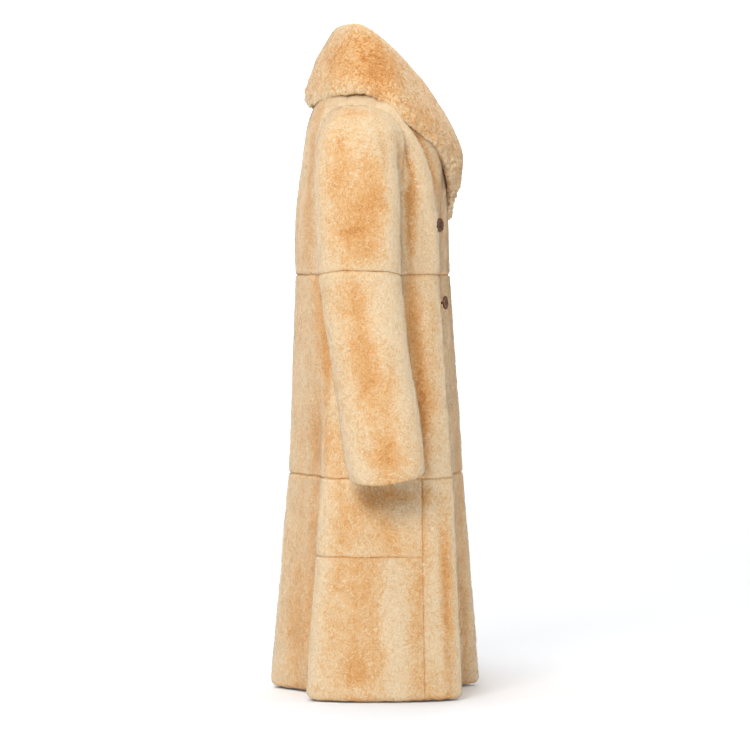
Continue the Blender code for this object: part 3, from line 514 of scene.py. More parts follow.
def body_normal(s, z):
    """Outward unit normals of the coat's surface."""
    along = body(s + 0.4, z) - body(s - 0.4, z)
    up = body(s, np.minimum(z + MM, NECK_Z)) - body(s, np.maximum(z - MM, HEM_Z))
    return normalised(np.cross(along, up))


def body_point(s, z):
    """One point of the coat's surface and its normal."""
    s, z = np.array([s]), np.array([z])
    return body(s, z)[0], body_normal(s, z)[0]


def place_of(axis, target, z, low, high):
    """The place s between low and high where the body's x (axis 0) or y (axis 1) is the target."""
    values = [np.asarray(value, float) for value in (target, z, low, high)]
    target, z, low, high = np.broadcast_arrays(*values)
    rising = body(high, z)[..., axis] > body(low, z)[..., axis]
    for _ in range(HALVINGS):
        middle = (low + high) / 2
        over = (body(middle, z)[..., axis] > target) == rising
        high = np.where(over, middle, high)
        low = np.where(over, low, middle)
    return (low + high) / 2


# ---------------------------------------------------------------- edges of the panels
NECK_ROWS = np.array(NECKLINE) * MM
NECK_ROWS[0, 1] = body(FRONT_EDGE_S, BREAK_Z)[0]
NECK_ROWS[0, 2] = body(UNDER_EDGE_S, BREAK_Z)[0]
ARM_ROWS = np.array(ARMHOLE)[::-1] * MM  # from the underarm up


def edge_x(z, side):
    """How far a front reaches over the middle: its free edge, or its neckline above that."""
    z = np.asarray(z, float)
    place, column = (FRONT_EDGE_S, 1) if side < 0 else (UNDER_EDGE_S, 2)
    neckline = curve(NECK_ROWS[:, 0], NECK_ROWS[:, column], z)[..., 0]
    return np.where(z < BREAK_Z, body(place, np.minimum(z, BREAK_Z))[..., 0], neckline)


def neck_place(z, side):
    """Where the front of this side ends toward the neck or the lap, in degrees."""
    low, high = (-100.0, 75.0) if side < 0 else (-75.0, 100.0)
    return place_of(0, edge_x(z, side), z, low, high)


def armhole_place(z, side, front):
    """Where the body's panel ends toward the sleeve or the seam, as degrees from the front."""
    z = np.asarray(z, float)
    levels = np.concatenate([[UNDERARM_Z], ARM_ROWS[:, 0], [ARMHOLE_TOP_Z]])
    rim = place_of(1, ARM_ROWS[:, 1 if front else 2], ARM_ROWS[:, 0], 2.0, 178.0)
    rim = np.concatenate([[SIDE_SEAM_S], rim, [SHOULDER_SEAM_S]])
    return side * np.where(z > ARMHOLE_TOP_Z, SHOULDER_SEAM_S, np.interp(z, levels, rim))


def lap_depth(points, z, side):
    """How far the left front lies under the right one."""
    if side <= 0:
        return np.zeros(points.shape[:-1])
    past = points[..., 0] - edge_x(z, -1) - LAP_PAST
    return (WALL + LAP_GAP) * smooth_share(1 - past / LAP_FADE)


# ---------------------------------------------------------------- repeatable noise
def hashed(cells, seed):
    """A repeatable value from 0 to 1 for each whole-number cell."""
    cells = cells.astype(np.int64)
    mixed = cells[..., 0] * 73856093 ^ cells[..., 1] * 19349663 ^ cells[..., 2] * 83492791
    mixed = (mixed ^ (seed * 2654435761)) & 0xFFFFFFFF
    for shift, factor in ((15, 2246822519), (13, 3266489917)):
        mixed = ((mixed ^ (mixed >> shift)) * factor) & 0xFFFFFFFF
    return ((mixed ^ (mixed >> 16)) & 0xFFFFFF) / 0xFFFFFF


def noise(points, size, seed):
    """Smooth noise from -1 to 1 with cells of this size. The size may be one per axis."""
    scaled = points / np.asarray(size, float)
    cell = np.floor(scaled)
    inside = smooth_share(scaled - cell)
    total = np.zeros(points.shape[:-1])
    for corner in np.ndindex(2, 2, 2):
        step = np.array(corner)
        total += np.where(step, inside, 1 - inside).prod(axis=-1) * hashed(cell + step, seed)
    return total * 2 - 1


def clumps(points, size, seed):
    """Distance to the nearest and the second nearest of scattered centres, in cell sizes."""
    scaled = points / np.asarray(size, float)
    cell = np.floor(scaled)
    first = np.full(points.shape[:-1], 9.0)
    second = first.copy()
    for corner in np.ndindex(3, 3, 3):
        near = cell + np.array(corner) - 1
        jitter = np.stack([hashed(near, seed + axis) for axis in range(3)], axis=-1)
        away = np.linalg.norm(near + 0.1 + 0.8 * jitter - scaled, axis=-1)
        second = np.where(away < first, first, np.minimum(second, away))
        first = np.minimum(first, away)
    return first, second


# ---------------------------------------------------------------- grids
def travelled(points):
    """Distance along a row of points, from its first point to each of them."""
    return np.concatenate([[0], np.cumsum(np.linalg.norm(np.diff(points, axis=0), axis=1))])


def wrapped(grid):
    """A grid that closes round: its first column once more after its last."""
    return np.concatenate([grid, grid[:, :1]], axis=1)


def cell_areas(grid):
    """The area of each cell of a grid, from its two diagonals."""
    one, two = grid[1:, 1:] - grid[:-1, :-1], grid[1:, :-1] - grid[:-1, 1:]
    return np.linalg.norm(np.cross(one, two), axis=-1) / 2


def grid_normals(grid, closed):
    """Unit normals of a grid of points, whose rows run up and whose columns run round."""
    if closed:
        along = np.roll(grid, -1, axis=1) - np.roll(grid, 1, axis=1)
    else:
        along = np.gradient(grid, axis=1)
    return normalised(np.cross(along, np.gradient(grid, axis=0)))


def spaced(length, low, high):
    """Distances along a length: close together beside its ends, and a whole number of fours."""
    inner = length - low[-1] - high[-1]
    count = max(1, int(round(inner / GRID_STEP)))
    count += -(len(low) + len(high) - 2 + count) % COARSE
    middle = low[-1] + inner * np.arange(1, count) / count
    return np.concatenate([low, middle, length - np.array(high[::-1])])


def seam_sink(distance):
    """How far the pile lies under its own level beside a seam."""
    dive = SEAM_DIVE * np.exp(-((distance / SEAM_REACH) ** 1.25))
    swell = SEAM_SWELL * np.exp(-(((distance - SWELL_FROM_SEAM) / SWELL_REACH) ** 2))
    return dive - swell


def rim_sink(distance):
    """How far the pile lies under its own level where it rounds a fur edge."""
    share = np.clip(1 - distance / (RIM_RADIUS * 1.35), 0, 1)
    return RIM_DEPTH * (1 - np.sqrt(1 - share * share * 0.98))


def crease_depth(kind, points, side):
    """How deep the listed creases of a panel press in."""
    depth = np.zeros(points.shape[:-1])
    flat = points[..., 1:3] / MM
    for number, (panel_kind, *keys, deep, half_width) in enumerate(CREASES):
        if panel_kind != kind:
            continue
        keys = np.array(keys, float).reshape(3, 2)
        if side > 0:
            keys = keys + np.array(LEFT_CREASE_SHIFT) * (1 if number % 2 else -1)
        line = curve([0, 1, 2], keys, np.linspace(0, 2, 17))
        nearest = np.full(depth.shape, 1e9)
        place = np.zeros(depth.shape)
        for index, start in enumerate(line[:-1]):
            step = line[index + 1] - start
            share = np.clip(((flat - start) @ step) / (step @ step), 0, 1)
            away = np.linalg.norm(flat - start - share[..., None] * step, axis=-1)
            place = np.where(away < nearest, (index + share) / (len(line) - 1), place)
            nearest = np.minimum(nearest, away)
        fade = np.sin(math.pi * np.clip(0.12 + place * 0.8, 0, 1)) ** 0.7
        width = half_width * (0.85 + 0.3 * noise(points, 0.05, 31 + number))
        trough = np.exp(-((nearest / width) ** 2))
        ridge = 0.35 * np.exp(-(((nearest - 2.1 * width) / (0.9 * width)) ** 2))
        depth += deep * MM * (1.0 if side < 0 else LEFT_CREASE_SHARE) * fade * (trough - ridge)
    return depth * smooth_share((np.abs(points[..., 0]) - CREASES_FROM_X) / CREASES_FADE)


def pile_relief(points):
    """Slow unevenness of the sheared pile, and its soft clumps."""
    slow = 0.0008 * noise(points, 0.060, 3) + 0.0006 * noise(points, 0.027, 5)
    first, second = clumps(points, 0.0125, 11)
    tufted = 0.0007 * (0.55 - first) * smooth_share((second - first) / 0.25)
    return slow + tufted + 0.00035 * noise(points, 0.006, 7)


def bulge(grid, normals, closed):
    """How strongly a grid bends outward along its rows, in 1/m: positive on a ridge."""
    count = grid.shape[1]
    step = max(1, int(round(BULGE_REACH / GRID_STEP)))
    before, after = np.arange(count) - step, np.arange(count) + step
    if closed:
        before, after = before % count, after % count
    else:
        before, after = np.maximum(before, 0), np.minimum(after, count - 1)
    span = grid[:, after] - grid[:, before]
    turn = normals[:, after] - normals[:, before]
    return (span * turn).sum(axis=-1) / np.maximum((span * span).sum(axis=-1), 1e-9)


def tone_with_painted_light(kind, points, normals, bent, side):
    """0 is the palest cream of the pile and 1 its deepest honey: its own uneven tone, with painted light on
    the sides and ridges and painted shade in the hollows and patches.
    """
    tone = 0.41 + 0.15 * noise(points, (0.045, 0.045, 0.13), 21) + 0.10 * noise(points, 0.030, 23)
    tone += 0.07 * noise(points, 0.012, 25)
    sideways = smooth_share((np.abs(normals[..., 0]) - 0.15) / 0.5)
    # patches: the pile's own honey, with painted shade and painted light where the table gives it
    for panel_kind, *sizes, strength in TONE_AND_PAINTED_LIGHT_PATCHES:
        if panel_kind != kind:
            continue
        y, z, wide, tall = np.array(sizes) * MM
        if side > 0:
            y, z = y + LEFT_PATCH_SHIFT[0], z + LEFT_PATCH_SHIFT[1]
        away = ((points[..., 1] - y) / wide) ** 2 + ((points[..., 2] - z) / tall) ** 2
        away = away * (1 + 0.4 * noise(points, 0.03, 27) + 0.25 * noise(points, 0.013, 29))
        tone += strength * PATCH_GAIN * np.exp(-0.9 * away) * sideways
    # painted light on the sides facing along X, painted highlight on ridges and painted shade in hollows
    tone -= SIDE_PAINTED_LIGHT * sideways
    tone -= RIDGE_PAINTED_LIGHT * np.clip(bent / SHARP_RIDGE, -0.6, 1.2)
    return np.clip(tone, 0, 1)


# ---------------------------------------------------------------- meshes
def placed(name, data):
    """A new object in the scene."""
    made = bpy.data.objects.new(name, data)
    bpy.context.scene.collection.objects.link(made)
    return made


def quads_of(index):
    """The four corners of each cell of a grid of point numbers."""
    corners = [index[:-1, :-1], index[:-1, 1:], index[1:, 1:], index[1:, :-1]]
    return np.stack(corners, -1).reshape(-1, 4)


def uv_grid(down, across):
    """Texture places of a grid, from the places of its rows and of its columns."""
    down, across = np.meshgrid(down, across, indexing="ij")
    return np.stack([across, down], axis=-1).reshape(-1, 2)


def fans(index, first_tip, last_tip):
    """Triangles that close the first and the last loop of a closed grid to one point each."""
    low = np.stack([np.full(index.shape[1] - 1, first_tip), index[0, 1:], index[0, :-1]], -1)
    high = np.stack([np.full(index.shape[1] - 1, last_tip), index[-1, :-1], index[-1, 1:]], -1)
    return np.concatenate([low, high])


def mesh_of(name, points, faces, materials, uvs=None, tones=None, facing=None, slots=None):
    """A mesh from arrays. faces is a list of 2-D arrays, one for each number of corners."""
    mesh = bpy.data.meshes.new(name)
    corners = np.concatenate([group.reshape(-1) for group in faces])
    sizes = np.concatenate([np.full(len(group), group.shape[1]) for group in faces])
    starts = np.concatenate([[0], np.cumsum(sizes)[:-1]])

    def fill(items, field, values, kind=np.float32):
        items.foreach_set(field, values.astype(kind).ravel())

    mesh.vertices.add(len(points))
    fill(mesh.vertices, "co", points)
    mesh.loops.add(len(corners))
    fill(mesh.loops, "vertex_index", corners, np.int32)
    mesh.polygons.add(len(starts))
    fill(mesh.polygons, "loop_start", starts, np.int32)
    mesh.update(calc_edges=True)
    for material in materials:
        mesh.materials.append(material)
    if slots is not None:
        fill(mesh.polygons, "material_index", slots, np.int32)
    if uvs is not None:
        fill(mesh.uv_layers.new(name="OFBake").data, "uv", uvs[corners])
    if tones is not None:
        fill(mesh.color_attributes.new("Pile", "FLOAT_COLOR", "POINT").data, "color", tones)
        fill(mesh.attributes.new("Lie", "FLOAT_VECTOR", "POINT").data, "vector", facing)
    mesh.shade_smooth()
    return placed(name, mesh)


def pile_values(root_to_tip, luck, tone, fine=1.0):
    """The colour attribute of the pile: how near the tip, which sets the painted root shade, a chance
    value, the tone with its painted light and shade, and how fine its curls are."""
    return np.stack(np.broadcast_arrays(root_to_tip, luck, tone, fine), axis=-1)


def wall_of(name, outer, normals, skin_side, tone, closed):
    """A closed shell: the fur side in full and the skin side with every fourth point."""
    rows, columns = outer.shape[:2]
    inner = skin_side[::COARSE, ::COARSE]
    points = np.concatenate([outer.reshape(-1, 3), inner.reshape(-1, 3)])
    index = np.arange(rows * columns).reshape(rows, columns)
    back = rows * columns + np.arange(inner[..., 0].size).reshape(inner.shape[:2])
    if closed:
        index, back = wrapped(index), wrapped(back)
    borders = [(index[0], back[0]), (index[-1][::-1], back[-1][::-1])]
    if not closed:
        borders += [(index[::-1, 0], back[::-1, 0]), (index[:, -1], back[:, -1])]
    strips = []
    for fine, thick in borders:
        for step in range(len(thick) - 1):
            fine_part = fine[step * COARSE : (step + 1) * COARSE + 1][::-1]
            strips.append(np.concatenate([fine_part, thick[step : step + 2]]))
    faces = [quads_of(index), quads_of(back)[:, [0, 3, 2, 1]], np.array(strips)]
    slots = np.concatenate([np.full(len(group), slot) for group, slot in zip(faces, (0, 1, 0))])
    across = np.arange(columns) / (columns - (not closed))
    uvs = uv_grid(np.linspace(0, 1, rows), across * 0.9)
    inner_uvs = uv_grid(np.linspace(0, 1, len(inner)), np.linspace(0.92, 1, inner.shape[1]))
    values = pile_values(SHELL_TIP, 0.5, tone).reshape(-1, 4)
    values = np.concatenate([values, np.full((inner[..., 0].size, 4), SHELL_TIP)])
    inward = -normals[::COARSE, ::COARSE]
    facing = np.concatenate([normals.reshape(-1, 3), inward.reshape(-1, 3)])
    uvs = np.concatenate([uvs, inner_uvs])
    return mesh_of(name, points, faces, [FUR, SKIN], uvs, values, facing, slots)


def pile_of(name, outer, normals, tone, sink, closed, style, seed):
    """The strands that stand on a shell: short curved ribbons that lie over with the nap."""
    rng = np.random.default_rng(seed)
    if closed:
        outer, normals, tone, sink = [wrapped(grid) for grid in (outer, normals, tone, sink)]
    rows, columns = outer.shape[:2]
    last = [rows - 1.001, columns - 1.001]
    areas = cell_areas(outer)
    density = style["density"] * STRANDS_PER_M2 * 1.0
    count = int(areas.sum() * density)
    chosen = rng.choice(areas.size, count, p=(areas / areas.sum()).ravel())
    row, column = np.unravel_index(chosen, areas.shape)
    row_step = outer[row + 1, column] - outer[row, column]
    column_step = outer[row, column + 1] - outer[row, column]

    def at(grid, place):
        """The value of a grid at places given in rows and columns."""
        inside = np.clip(place, 0, last)
        corner = inside.astype(int)
        near, far = corner.T
        v, u = (inside - corner).T[..., None]
        if grid.ndim == 2:
            grid = grid[..., None]
        low = grid[near, far] * (1 - u) + grid[near, far + 1] * u
        high = grid[near + 1, far] * (1 - u) + grid[near + 1, far + 1] * u
        return low * (1 - v) + high * v

    def further(place, moved):
        """The place on the grid that a short way along the surface leads to."""
        rr, cc = (row_step**2).sum(axis=1), (column_step**2).sum(axis=1)
        rc = (row_step * column_step).sum(axis=1)
        with_row, with_column = (moved * row_step).sum(axis=1), (moved * column_step).sum(axis=1)
        scale = np.maximum(rr * cc - rc * rc, 1e-16)
        steps = np.stack([with_row * cc - with_column * rc, with_column * rr - with_row * rc], axis=1)
        found = place + np.clip(steps / scale[:, None], -3, 3)
        if closed:
            found[:, 1] %= columns - 1
        return found

    def surface(place):
        """A point of the shell, or one straight on past its edge."""
        beyond = place - np.clip(place, 0, last)
        return at(outer, place) + beyond[:, :1] * row_step + beyond[:, 1:] * column_step

    v, u = rng.random((2, count, 1))
    start = np.concatenate([row[:, None] + v, column[:, None] + u], axis=1)
    root, normal = at(outer, start), normalised(at(normals, start))
    tone, sunk = at(tone, start), at(sink, start)[:, 0]
    down = np.array([0.0, 0.0, -1.0]) + normal * normal[:, 2:3]
    flat = np.linalg.norm(down, axis=1) < 0.2
    down[flat] = np.cross(normal[flat], [1.0, 0.0, 0.0])
    down = normalised(down)
    across = np.cross(normal, down)
    swirl = style["swirl"] * noise(root, 0.021, 41) + 0.55 * style["swirl"] * noise(root, 0.007, 43)
    heading = swirl + style["stray"] * rng.normal(size=count)
    curl = style["curl"] * (0.65 * noise(root, 0.006, 45) + 0.6 * rng.normal(size=count))
    shorter = 1 - SUNK_SHORTER * np.clip(sunk / FULLY_SUNK, 0, 1)
    length = style["length"] * rng.uniform(0.65, 1.25, count) * shorter
    luck = rng.random(count)
    pale = luck < PALE_CURLS
    luck = np.where(pale, 0.0, 0.35 + 0.65 * luck)
    half = style["width"] * rng.uniform(0.7, 1.3, count) * np.where(pale, PALE_WIDER, 1.0) / 2
    lift = (style["lift"] * rng.uniform(0.5, 1.3, count) * shorter)[:, None]
    tilt = rng.normal(scale=RIBBON_TILT, size=count)[:, None]
    half = half[:, None]

    def direction(angle):
        return down * np.cos(angle)[:, None] + across * np.sin(angle)[:, None]

    first, second = direction(heading - curl / 2), direction(heading + curl / 2)
    halfway = further(start, first * (length / 2)[:, None])
    ending = further(halfway, second * (length / 2)[:, None])
    middle_normal, tip_normal = [normalised(at(normals, place)) for place in (halfway, ending)]
    middle = surface(halfway) + middle_normal * lift
    tip = surface(ending) + tip_normal * (lift * TIP_HEIGHT)
    foot = root - normal * FOOT_DEPTH
    spread = np.cross(normal, first) * np.cos(tilt) + normal * np.sin(tilt)
    later = np.cross(middle_normal, second) * np.cos(tilt) + middle_normal * np.sin(tilt)
    waist = (spread + later) * half * RIBBON_WAIST
    corners = [foot - spread * half, foot + spread * half, middle - waist, middle + waist, tip]
    points = np.stack(corners, axis=1)
    leaning = -np.cross(normal, first) * 0.3 * np.sin(tilt)
    rising, falling = normal + leaning - first * 0.12, tip_normal + leaning + second * 0.14
    level = middle_normal + leaning
    facing = normalised(np.stack([rising, rising, level, level, falling], axis=1))
    number = np.arange(count)[:, None] * len(corners)
    faces = [number + np.array([0, 2, 3, 1]), number + np.array([2, 4, 3])]
    values = pile_values(RIBBON_TIPS, np.repeat(luck[:, None], 5, axis=1), tone, style["fine"])
    moved = points - root[:, None]
    offset = [(moved * across[:, None]).sum(-1), -(moved * down[:, None]).sum(-1)]
    offset = np.stack(offset, axis=-1) / (np.array([columns, rows]) * GRID_STEP)
    place = start[:, ::-1] / np.array([columns - 1, rows - 1])
    uvs = np.clip(place[:, None] + offset, 0, 1).reshape(-1, 2)
    made = mesh_of(
        name, points.reshape(-1, 3), faces, [FUR], uvs, values.reshape(-1, 4), facing.reshape(-1, 3)
    )
    made.visible_shadow = False
    return made


# ---------------------------------------------------------------- materials
def node(tree, kind, inputs, output, **settings):
    """One output of a new shader node, whose inputs are linked to others or set to values."""
    made = tree.nodes.new("ShaderNode" + kind)
    for name, value in settings.items():
        setattr(made, name, value)
    for name, value in inputs.items():
        if isinstance(value, bpy.types.NodeSocket):
            tree.links.new(value, made.inputs[name])
        else:
            made.inputs[name].default_value = value
    return made.outputs[output]


def shader_of(name, values):
    """A new material, its node tree, its shader with these values, and the object's own place."""
    made = bpy.data.materials.new(name)
    made.use_nodes = True
    tree = made.node_tree
    shader = tree.nodes["Principled BSDF"]
    for field, value in values.items():
        shader.inputs[field].default_value = value
    return made, tree, shader, node(tree, "TexCoord", {}, "Object")


def sums(tree, operation, first, second):
    """The outcome of one sum of two values."""
    return node(tree, "Math", {0: first, 1: second}, 0, operation=operation)


def scaled_part(tree, value, middle, gain):
    """How far a value lies from its middle, times a gain."""
    return sums(tree, "MULTIPLY", sums(tree, "SUBTRACT", value, middle), gain)


def range_node(tree, value, low, high, at_low, at_high, **settings):
    """A value that goes from one number to another while its source goes from low to high."""
    inputs = {"Value": value, "From Min": low, "From Max": high, "To Min": at_low, "To Max": at_high}
    return node(tree, "MapRange", inputs, "Result", **settings)


def noise_node(tree, source, scale, detail, stretch=None, twist=0.0):
    """A noise texture over the object's own metres."""
    if stretch is not None:
        source = node(tree, "Mapping", {"Vector": source, "Scale": stretch}, "Vector")
    inputs = {"Vector": source, "Scale": scale, "Detail": detail, "Distortion": twist}
    return node(tree, "TexNoise", inputs, "Fac")


def worm_node(tree, source, scale, offset, wide):
    """Curly lines: 1 along them and 0 away from them."""
    shift = (offset, offset * 1.7, offset * 0.6)
    moved = node(tree, "VectorMath", {0: source, 1: shift}, 0, operation="ADD")
    level = noise_node(tree, moved, scale, 1.0, twist=1.0)
    away = sums(tree, "ABSOLUTE", sums(tree, "SUBTRACT", level, 0.5), 0.0)
    return range_node(tree, away, 0.0, wide, 1.0, 0.0, interpolation_type="SMOOTHSTEP")


def ramp_node(tree, source, stops):
    """The colour at the source's place on a scale of colours."""
    made = tree.nodes.new("ShaderNodeValToRGB")
    while len(made.color_ramp.elements) < len(stops):
        made.color_ramp.elements.new(0.5)
    for element, (place, colour) in zip(made.color_ramp.elements, stops):
        element.position = place
        element.color = (*colour, 1.0)
    tree.links.new(source, made.inputs["Fac"])
    return made.outputs["Color"]


def multiplied(tree, share, first, second):
    """Two colours multiplied, as far as the share says."""
    inputs = {0: share, 6: first, 7: second}  # the factor and the two colours
    return node(tree, "Mix", inputs, 2, data_type="RGBA", blend_type="MULTIPLY")


def coated(tree, shader, colour, height, distance, strength, facing=None):
    """Gives a shader its colour and the bump of its surface."""
    inputs = {"Height": height, "Distance": distance, "Strength": strength}
    if facing is not None:
        inputs["Normal"] = facing
    tree.links.new(colour, shader.inputs["Base Color"])
    tree.links.new(node(tree, "Bump", inputs, "Normal"), shader.inputs["Normal"])


def fur_material():
    """Sheared pile: cream on the ridges and honey in the hollows as painted highlight and shade, darker at
    the roots as painted shade.
    """
    values = {
        "Roughness": 0.82,
        "Specular IOR Level": 0.22,
        "Sheen Weight": 0.42,
        "Sheen Roughness": 0.42,
        "Sheen Tint": (1.0, 0.90, 0.74, 1.0),
    }
    made, tree, shader, place = shader_of("sheared_fur", values)
    pile = node(tree, "Attribute", {}, "Color", attribute_name="Pile")
    fineness = pile.node.outputs["Alpha"]
    tip, luck, tone = node(tree, "SeparateColor", {"Color": pile}, 0).node.outputs
    curls = node(tree, "VectorMath", {0: place, "Scale": fineness}, 0, operation="SCALE")
    # curly grooves: pressed in by the bump and painted darker as shade between the curls
    groove_bump_and_shade = worm_node(tree, curls, 125.0, 0.0, 0.070)
    # curly lines: raised by the bump and painted paler as highlight on the curls
    curl_bump_and_highlight = worm_node(tree, curls, 135.0, 7.0, 0.080)
    patchy = noise_node(tree, place, 75.0, 3.0)
    tone = sums(tree, "ADD", tone, scaled_part(tree, patchy, 0.5, 0.26))
    tone = sums(tree, "ADD", tone, scaled_part(tree, luck, 0.6, 0.27))
    # painted shade in the grooves, painted highlight on the raised curls
    tone = sums(tree, "ADD", tone, sums(tree, "MULTIPLY", groove_bump_and_shade, 0.12))
    tone = sums(tree, "SUBTRACT", tone, sums(tree, "MULTIPLY", curl_bump_and_highlight, 0.20))
    # painted shade at the roots of the pile
    root_shade = ramp_node(tree, tip, ROOT_SHADE_TONES)
    colour = multiplied(tree, 1.0, ramp_node(tree, tone, FUR_TONES), root_shade)
    # painted shade in the curl grooves, stronger where the curls are coarse
    coarse = sums(tree, "SUBTRACT", 2.2, sums(tree, "MULTIPLY", fineness, 1.65))
    colour = multiplied(tree, sums(tree, "MULTIPLY", groove_bump_and_shade, coarse), colour, GROOVE_SHADE_TONE)
    fine = noise_node(tree, place, 520.0, 2.0, (1.0, 1.0, 0.55))
    raised, pressed = sums(tree, "MULTIPLY", curl_bump_and_highlight, 0.7), sums(tree, "MULTIPLY", groove_bump_and_shade, 0.8)
    height = sums(tree, "SUBTRACT", raised, pressed)
    height = sums(tree, "ADD", height, sums(tree, "MULTIPLY", fine, 0.5))
    lie = node(tree, "Attribute", {}, "Vector", attribute_name="Lie")
    coated(tree, shader, colour, height, 0.0013, 0.3, lie)
    made.cycles.use_bump_map_correction = False
    return made


def skin_material():
    """The suede side of the skins, inside the coat."""
    values = {"Roughness": 0.92, "Sheen Weight": 0.25, "Sheen Roughness": 0.6}
    made, tree, shader, place = shader_of("suede_skin", values)
    colour = ramp_node(tree, noise_node(tree, place, 14.0, 4.0), SKIN_TONES)
    coated(tree, shader, colour, noise_node(tree, place, 900.0, 2.0), 0.0006, 0.5)
    return made


def horn_material():
    """Dark brown horn with an upright grain and a satin polish."""
    values = {"Roughness": 0.48, "Specular IOR Level": 0.30}
    made, tree, shader, place = shader_of("brown_horn", values)
    streaks = noise_node(tree, place, 420.0, 4.0, (1.0, 1.0, 0.10))
    clouds = sums(tree, "MULTIPLY", noise_node(tree, place, 90.0, 2.0), 0.3)
    share = sums(tree, "ADD", sums(tree, "MULTIPLY", streaks, 0.7), clouds)
    coated(tree, shader, ramp_node(tree, share, HORN_TONES), streaks, 0.0003, 0.35)
    return made


def thread_material():
    made, tree, shader, place = shader_of("waxed_thread", {"Roughness": 0.6})
    twist = noise_node(tree, place, 2500.0, 1.0)
    coated(tree, shader, ramp_node(tree, twist, THREAD_TONES), twist, 0.0002, 0.6)
    return made


FUR = fur_material()
SKIN = skin_material()
HORN = horn_material()
THREAD = thread_material()


# ---------------------------------------------------------------- putting a piece together
def settle(shell, pile, node_name):
    """Hangs a cut piece's shell and pile on the root body and hides the part they stand for."""
    for piece in (shell, pile):
        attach(piece, "root")
    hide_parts(node_name)


def dressed(node_name, kind, skin, normals, sink, held, side, closed, seed):
    """One cut piece: its shell and its pile."""
    sunk = sink / FULLY_SUNK
    relief = pile_relief(skin) * np.clip(1 - sunk, 0.25, 1)
    pressed = crease_depth(kind, skin, side) * smooth_share(held / ARMHOLE_HOLD)
    outer = skin + normals * (relief - sink - pressed)[..., None]
    turned_by = grid_normals(outer, closed) - grid_normals(skin, closed)
    fur_normals = normalised(normals + RELIEF_SHADING * turned_by)
    tone = tone_with_painted_light(kind, skin, fur_normals, bulge(skin, normals, closed), side)
    # painted shade in the creases and where the pile sinks at seams and edges, painted light on the rolls
    crease_shade = CREASE_PAINTED_SHADE * np.clip(pressed / DEEP_CREASE, -0.6, 1.1)
    tone = np.clip(tone + crease_shade + SEAM_PAINTED_SHADE * np.clip(sunk, 0, 1), 0, 1)
    inner = skin - normals * WALL
    shell = wall_of(node_name + "_shell", outer, fur_normals, inner, tone, closed)
    pile = pile_of(node_name + "_pile", outer, fur_normals, tone, sink, closed, BODY_PILE, seed)
    settle(shell, pile, node_name)


# ---------------------------------------------------------------- the body's panels
EDGES = {  # rows beside each kind of edge, and how the pile sinks there
    "seam": (NEAR_EDGE, seam_sink),
    "soft": (NEAR_EDGE, lambda distance: SOFT_SEAM * seam_sink(distance)),
    "rim": (NEAR_RIM, rim_sink),
    "plain": ((0.0, 0.003), lambda distance: distance * 0),
}


def panel(node_name, kind, levels, places, edges, side, seed):
    """A panel between two levels and two places round the body. edges names the kind of its
    bottom, top, first and last edge."""
    bottom, top = levels
    near_bottom, near_top, near_first, near_last = [EDGES[edge][0] for edge in edges]
    levels = bottom + spaced(top - bottom, near_bottom, near_top)
    if kind in ("front_upper", "back_upper"):
        under, over = UNDERARM_Z + np.array(UNDERARM_ROWS), ARMHOLE_TOP_Z - np.array(ARMHOLE_TOP_ROWS)
        levels = np.sort(np.concatenate([levels, under, over]))
    low, high = [place(levels)[:, None] for place in places]
    finer = low + (high - low) * np.linspace(0, 1, FINER_COLUMNS)
    stretches = np.linalg.norm(np.diff(body(finer, levels[:, None]), axis=1), axis=-1)
    length = stretches.sum(axis=1)
    steps = spaced(float(length.max()), near_first, near_last)
    inner = steps[len(near_first) - 1 : 1 - len(near_last)]
    inner = (inner - inner[0]) / (inner[-1] - inner[0])
    shares = np.empty((len(levels), len(steps)))
    for row, reach in enumerate(length):
        near, far = [np.minimum(rows, reach * 0.2) for rows in (near_first, near_last)]
        between = near[-1] + (reach - near[-1] - far[-1]) * inner
        shares[row] = np.concatenate([near[:-1], between, reach - far[:-1][::-1]]) / reach
    length = length[:, None]
    gap = SEAM_GAP * 0.6 / length
    shares = gap + shares * (1 - 2 * gap)
    from_first, to_last = shares * length, (1 - shares) * length
    arc = np.concatenate([np.zeros_like(length), np.cumsum(stretches, axis=1)], axis=1)
    s = np.array([np.interp(*row) for row in zip(from_first, arc, finer)])
    z = np.broadcast_to(levels[:, None], s.shape)
    skin = body(s, z)
    normal = body_normal(s, z)
    skin = skin - normal * lap_depth(skin, z, side)[..., None]
    from_bottom, to_top = z - bottom, top - z
    sinks = [
        EDGES[edge][1](distance)
        for edge, distance in zip(edges, (from_bottom, to_top, from_first, to_last))
    ]
    sink = np.maximum(np.maximum(sinks[2] + sinks[3], sinks[0]), sinks[1])
    wander = SEAM_WANDER * noise(skin * [1, 1, 0], 0.017, 51)
    for edge, distance in zip(edges, (from_bottom, to_top)):
        if edge == "seam":
            skin[..., 2] += wander * np.exp(-distance / WANDER_REACH)
        if edge == "rim":
            skin[..., 2] += 2 * np.abs(wander) * np.exp(-distance / WANDER_REACH)
    held = np.full(s.shape, ARMHOLE_HOLD)
    for edge, distance in zip(edges[2:], (from_first, to_last)):
        if edge == "soft":
            held = np.minimum(held, distance)
    dressed(node_name, kind, skin, normal, sink, held, side, False, seed)


def fixed(*places):
    """Edges that each stay at one place round the body."""
    return [lambda z, place=place: np.full(np.shape(z), float(place)) for place in places]


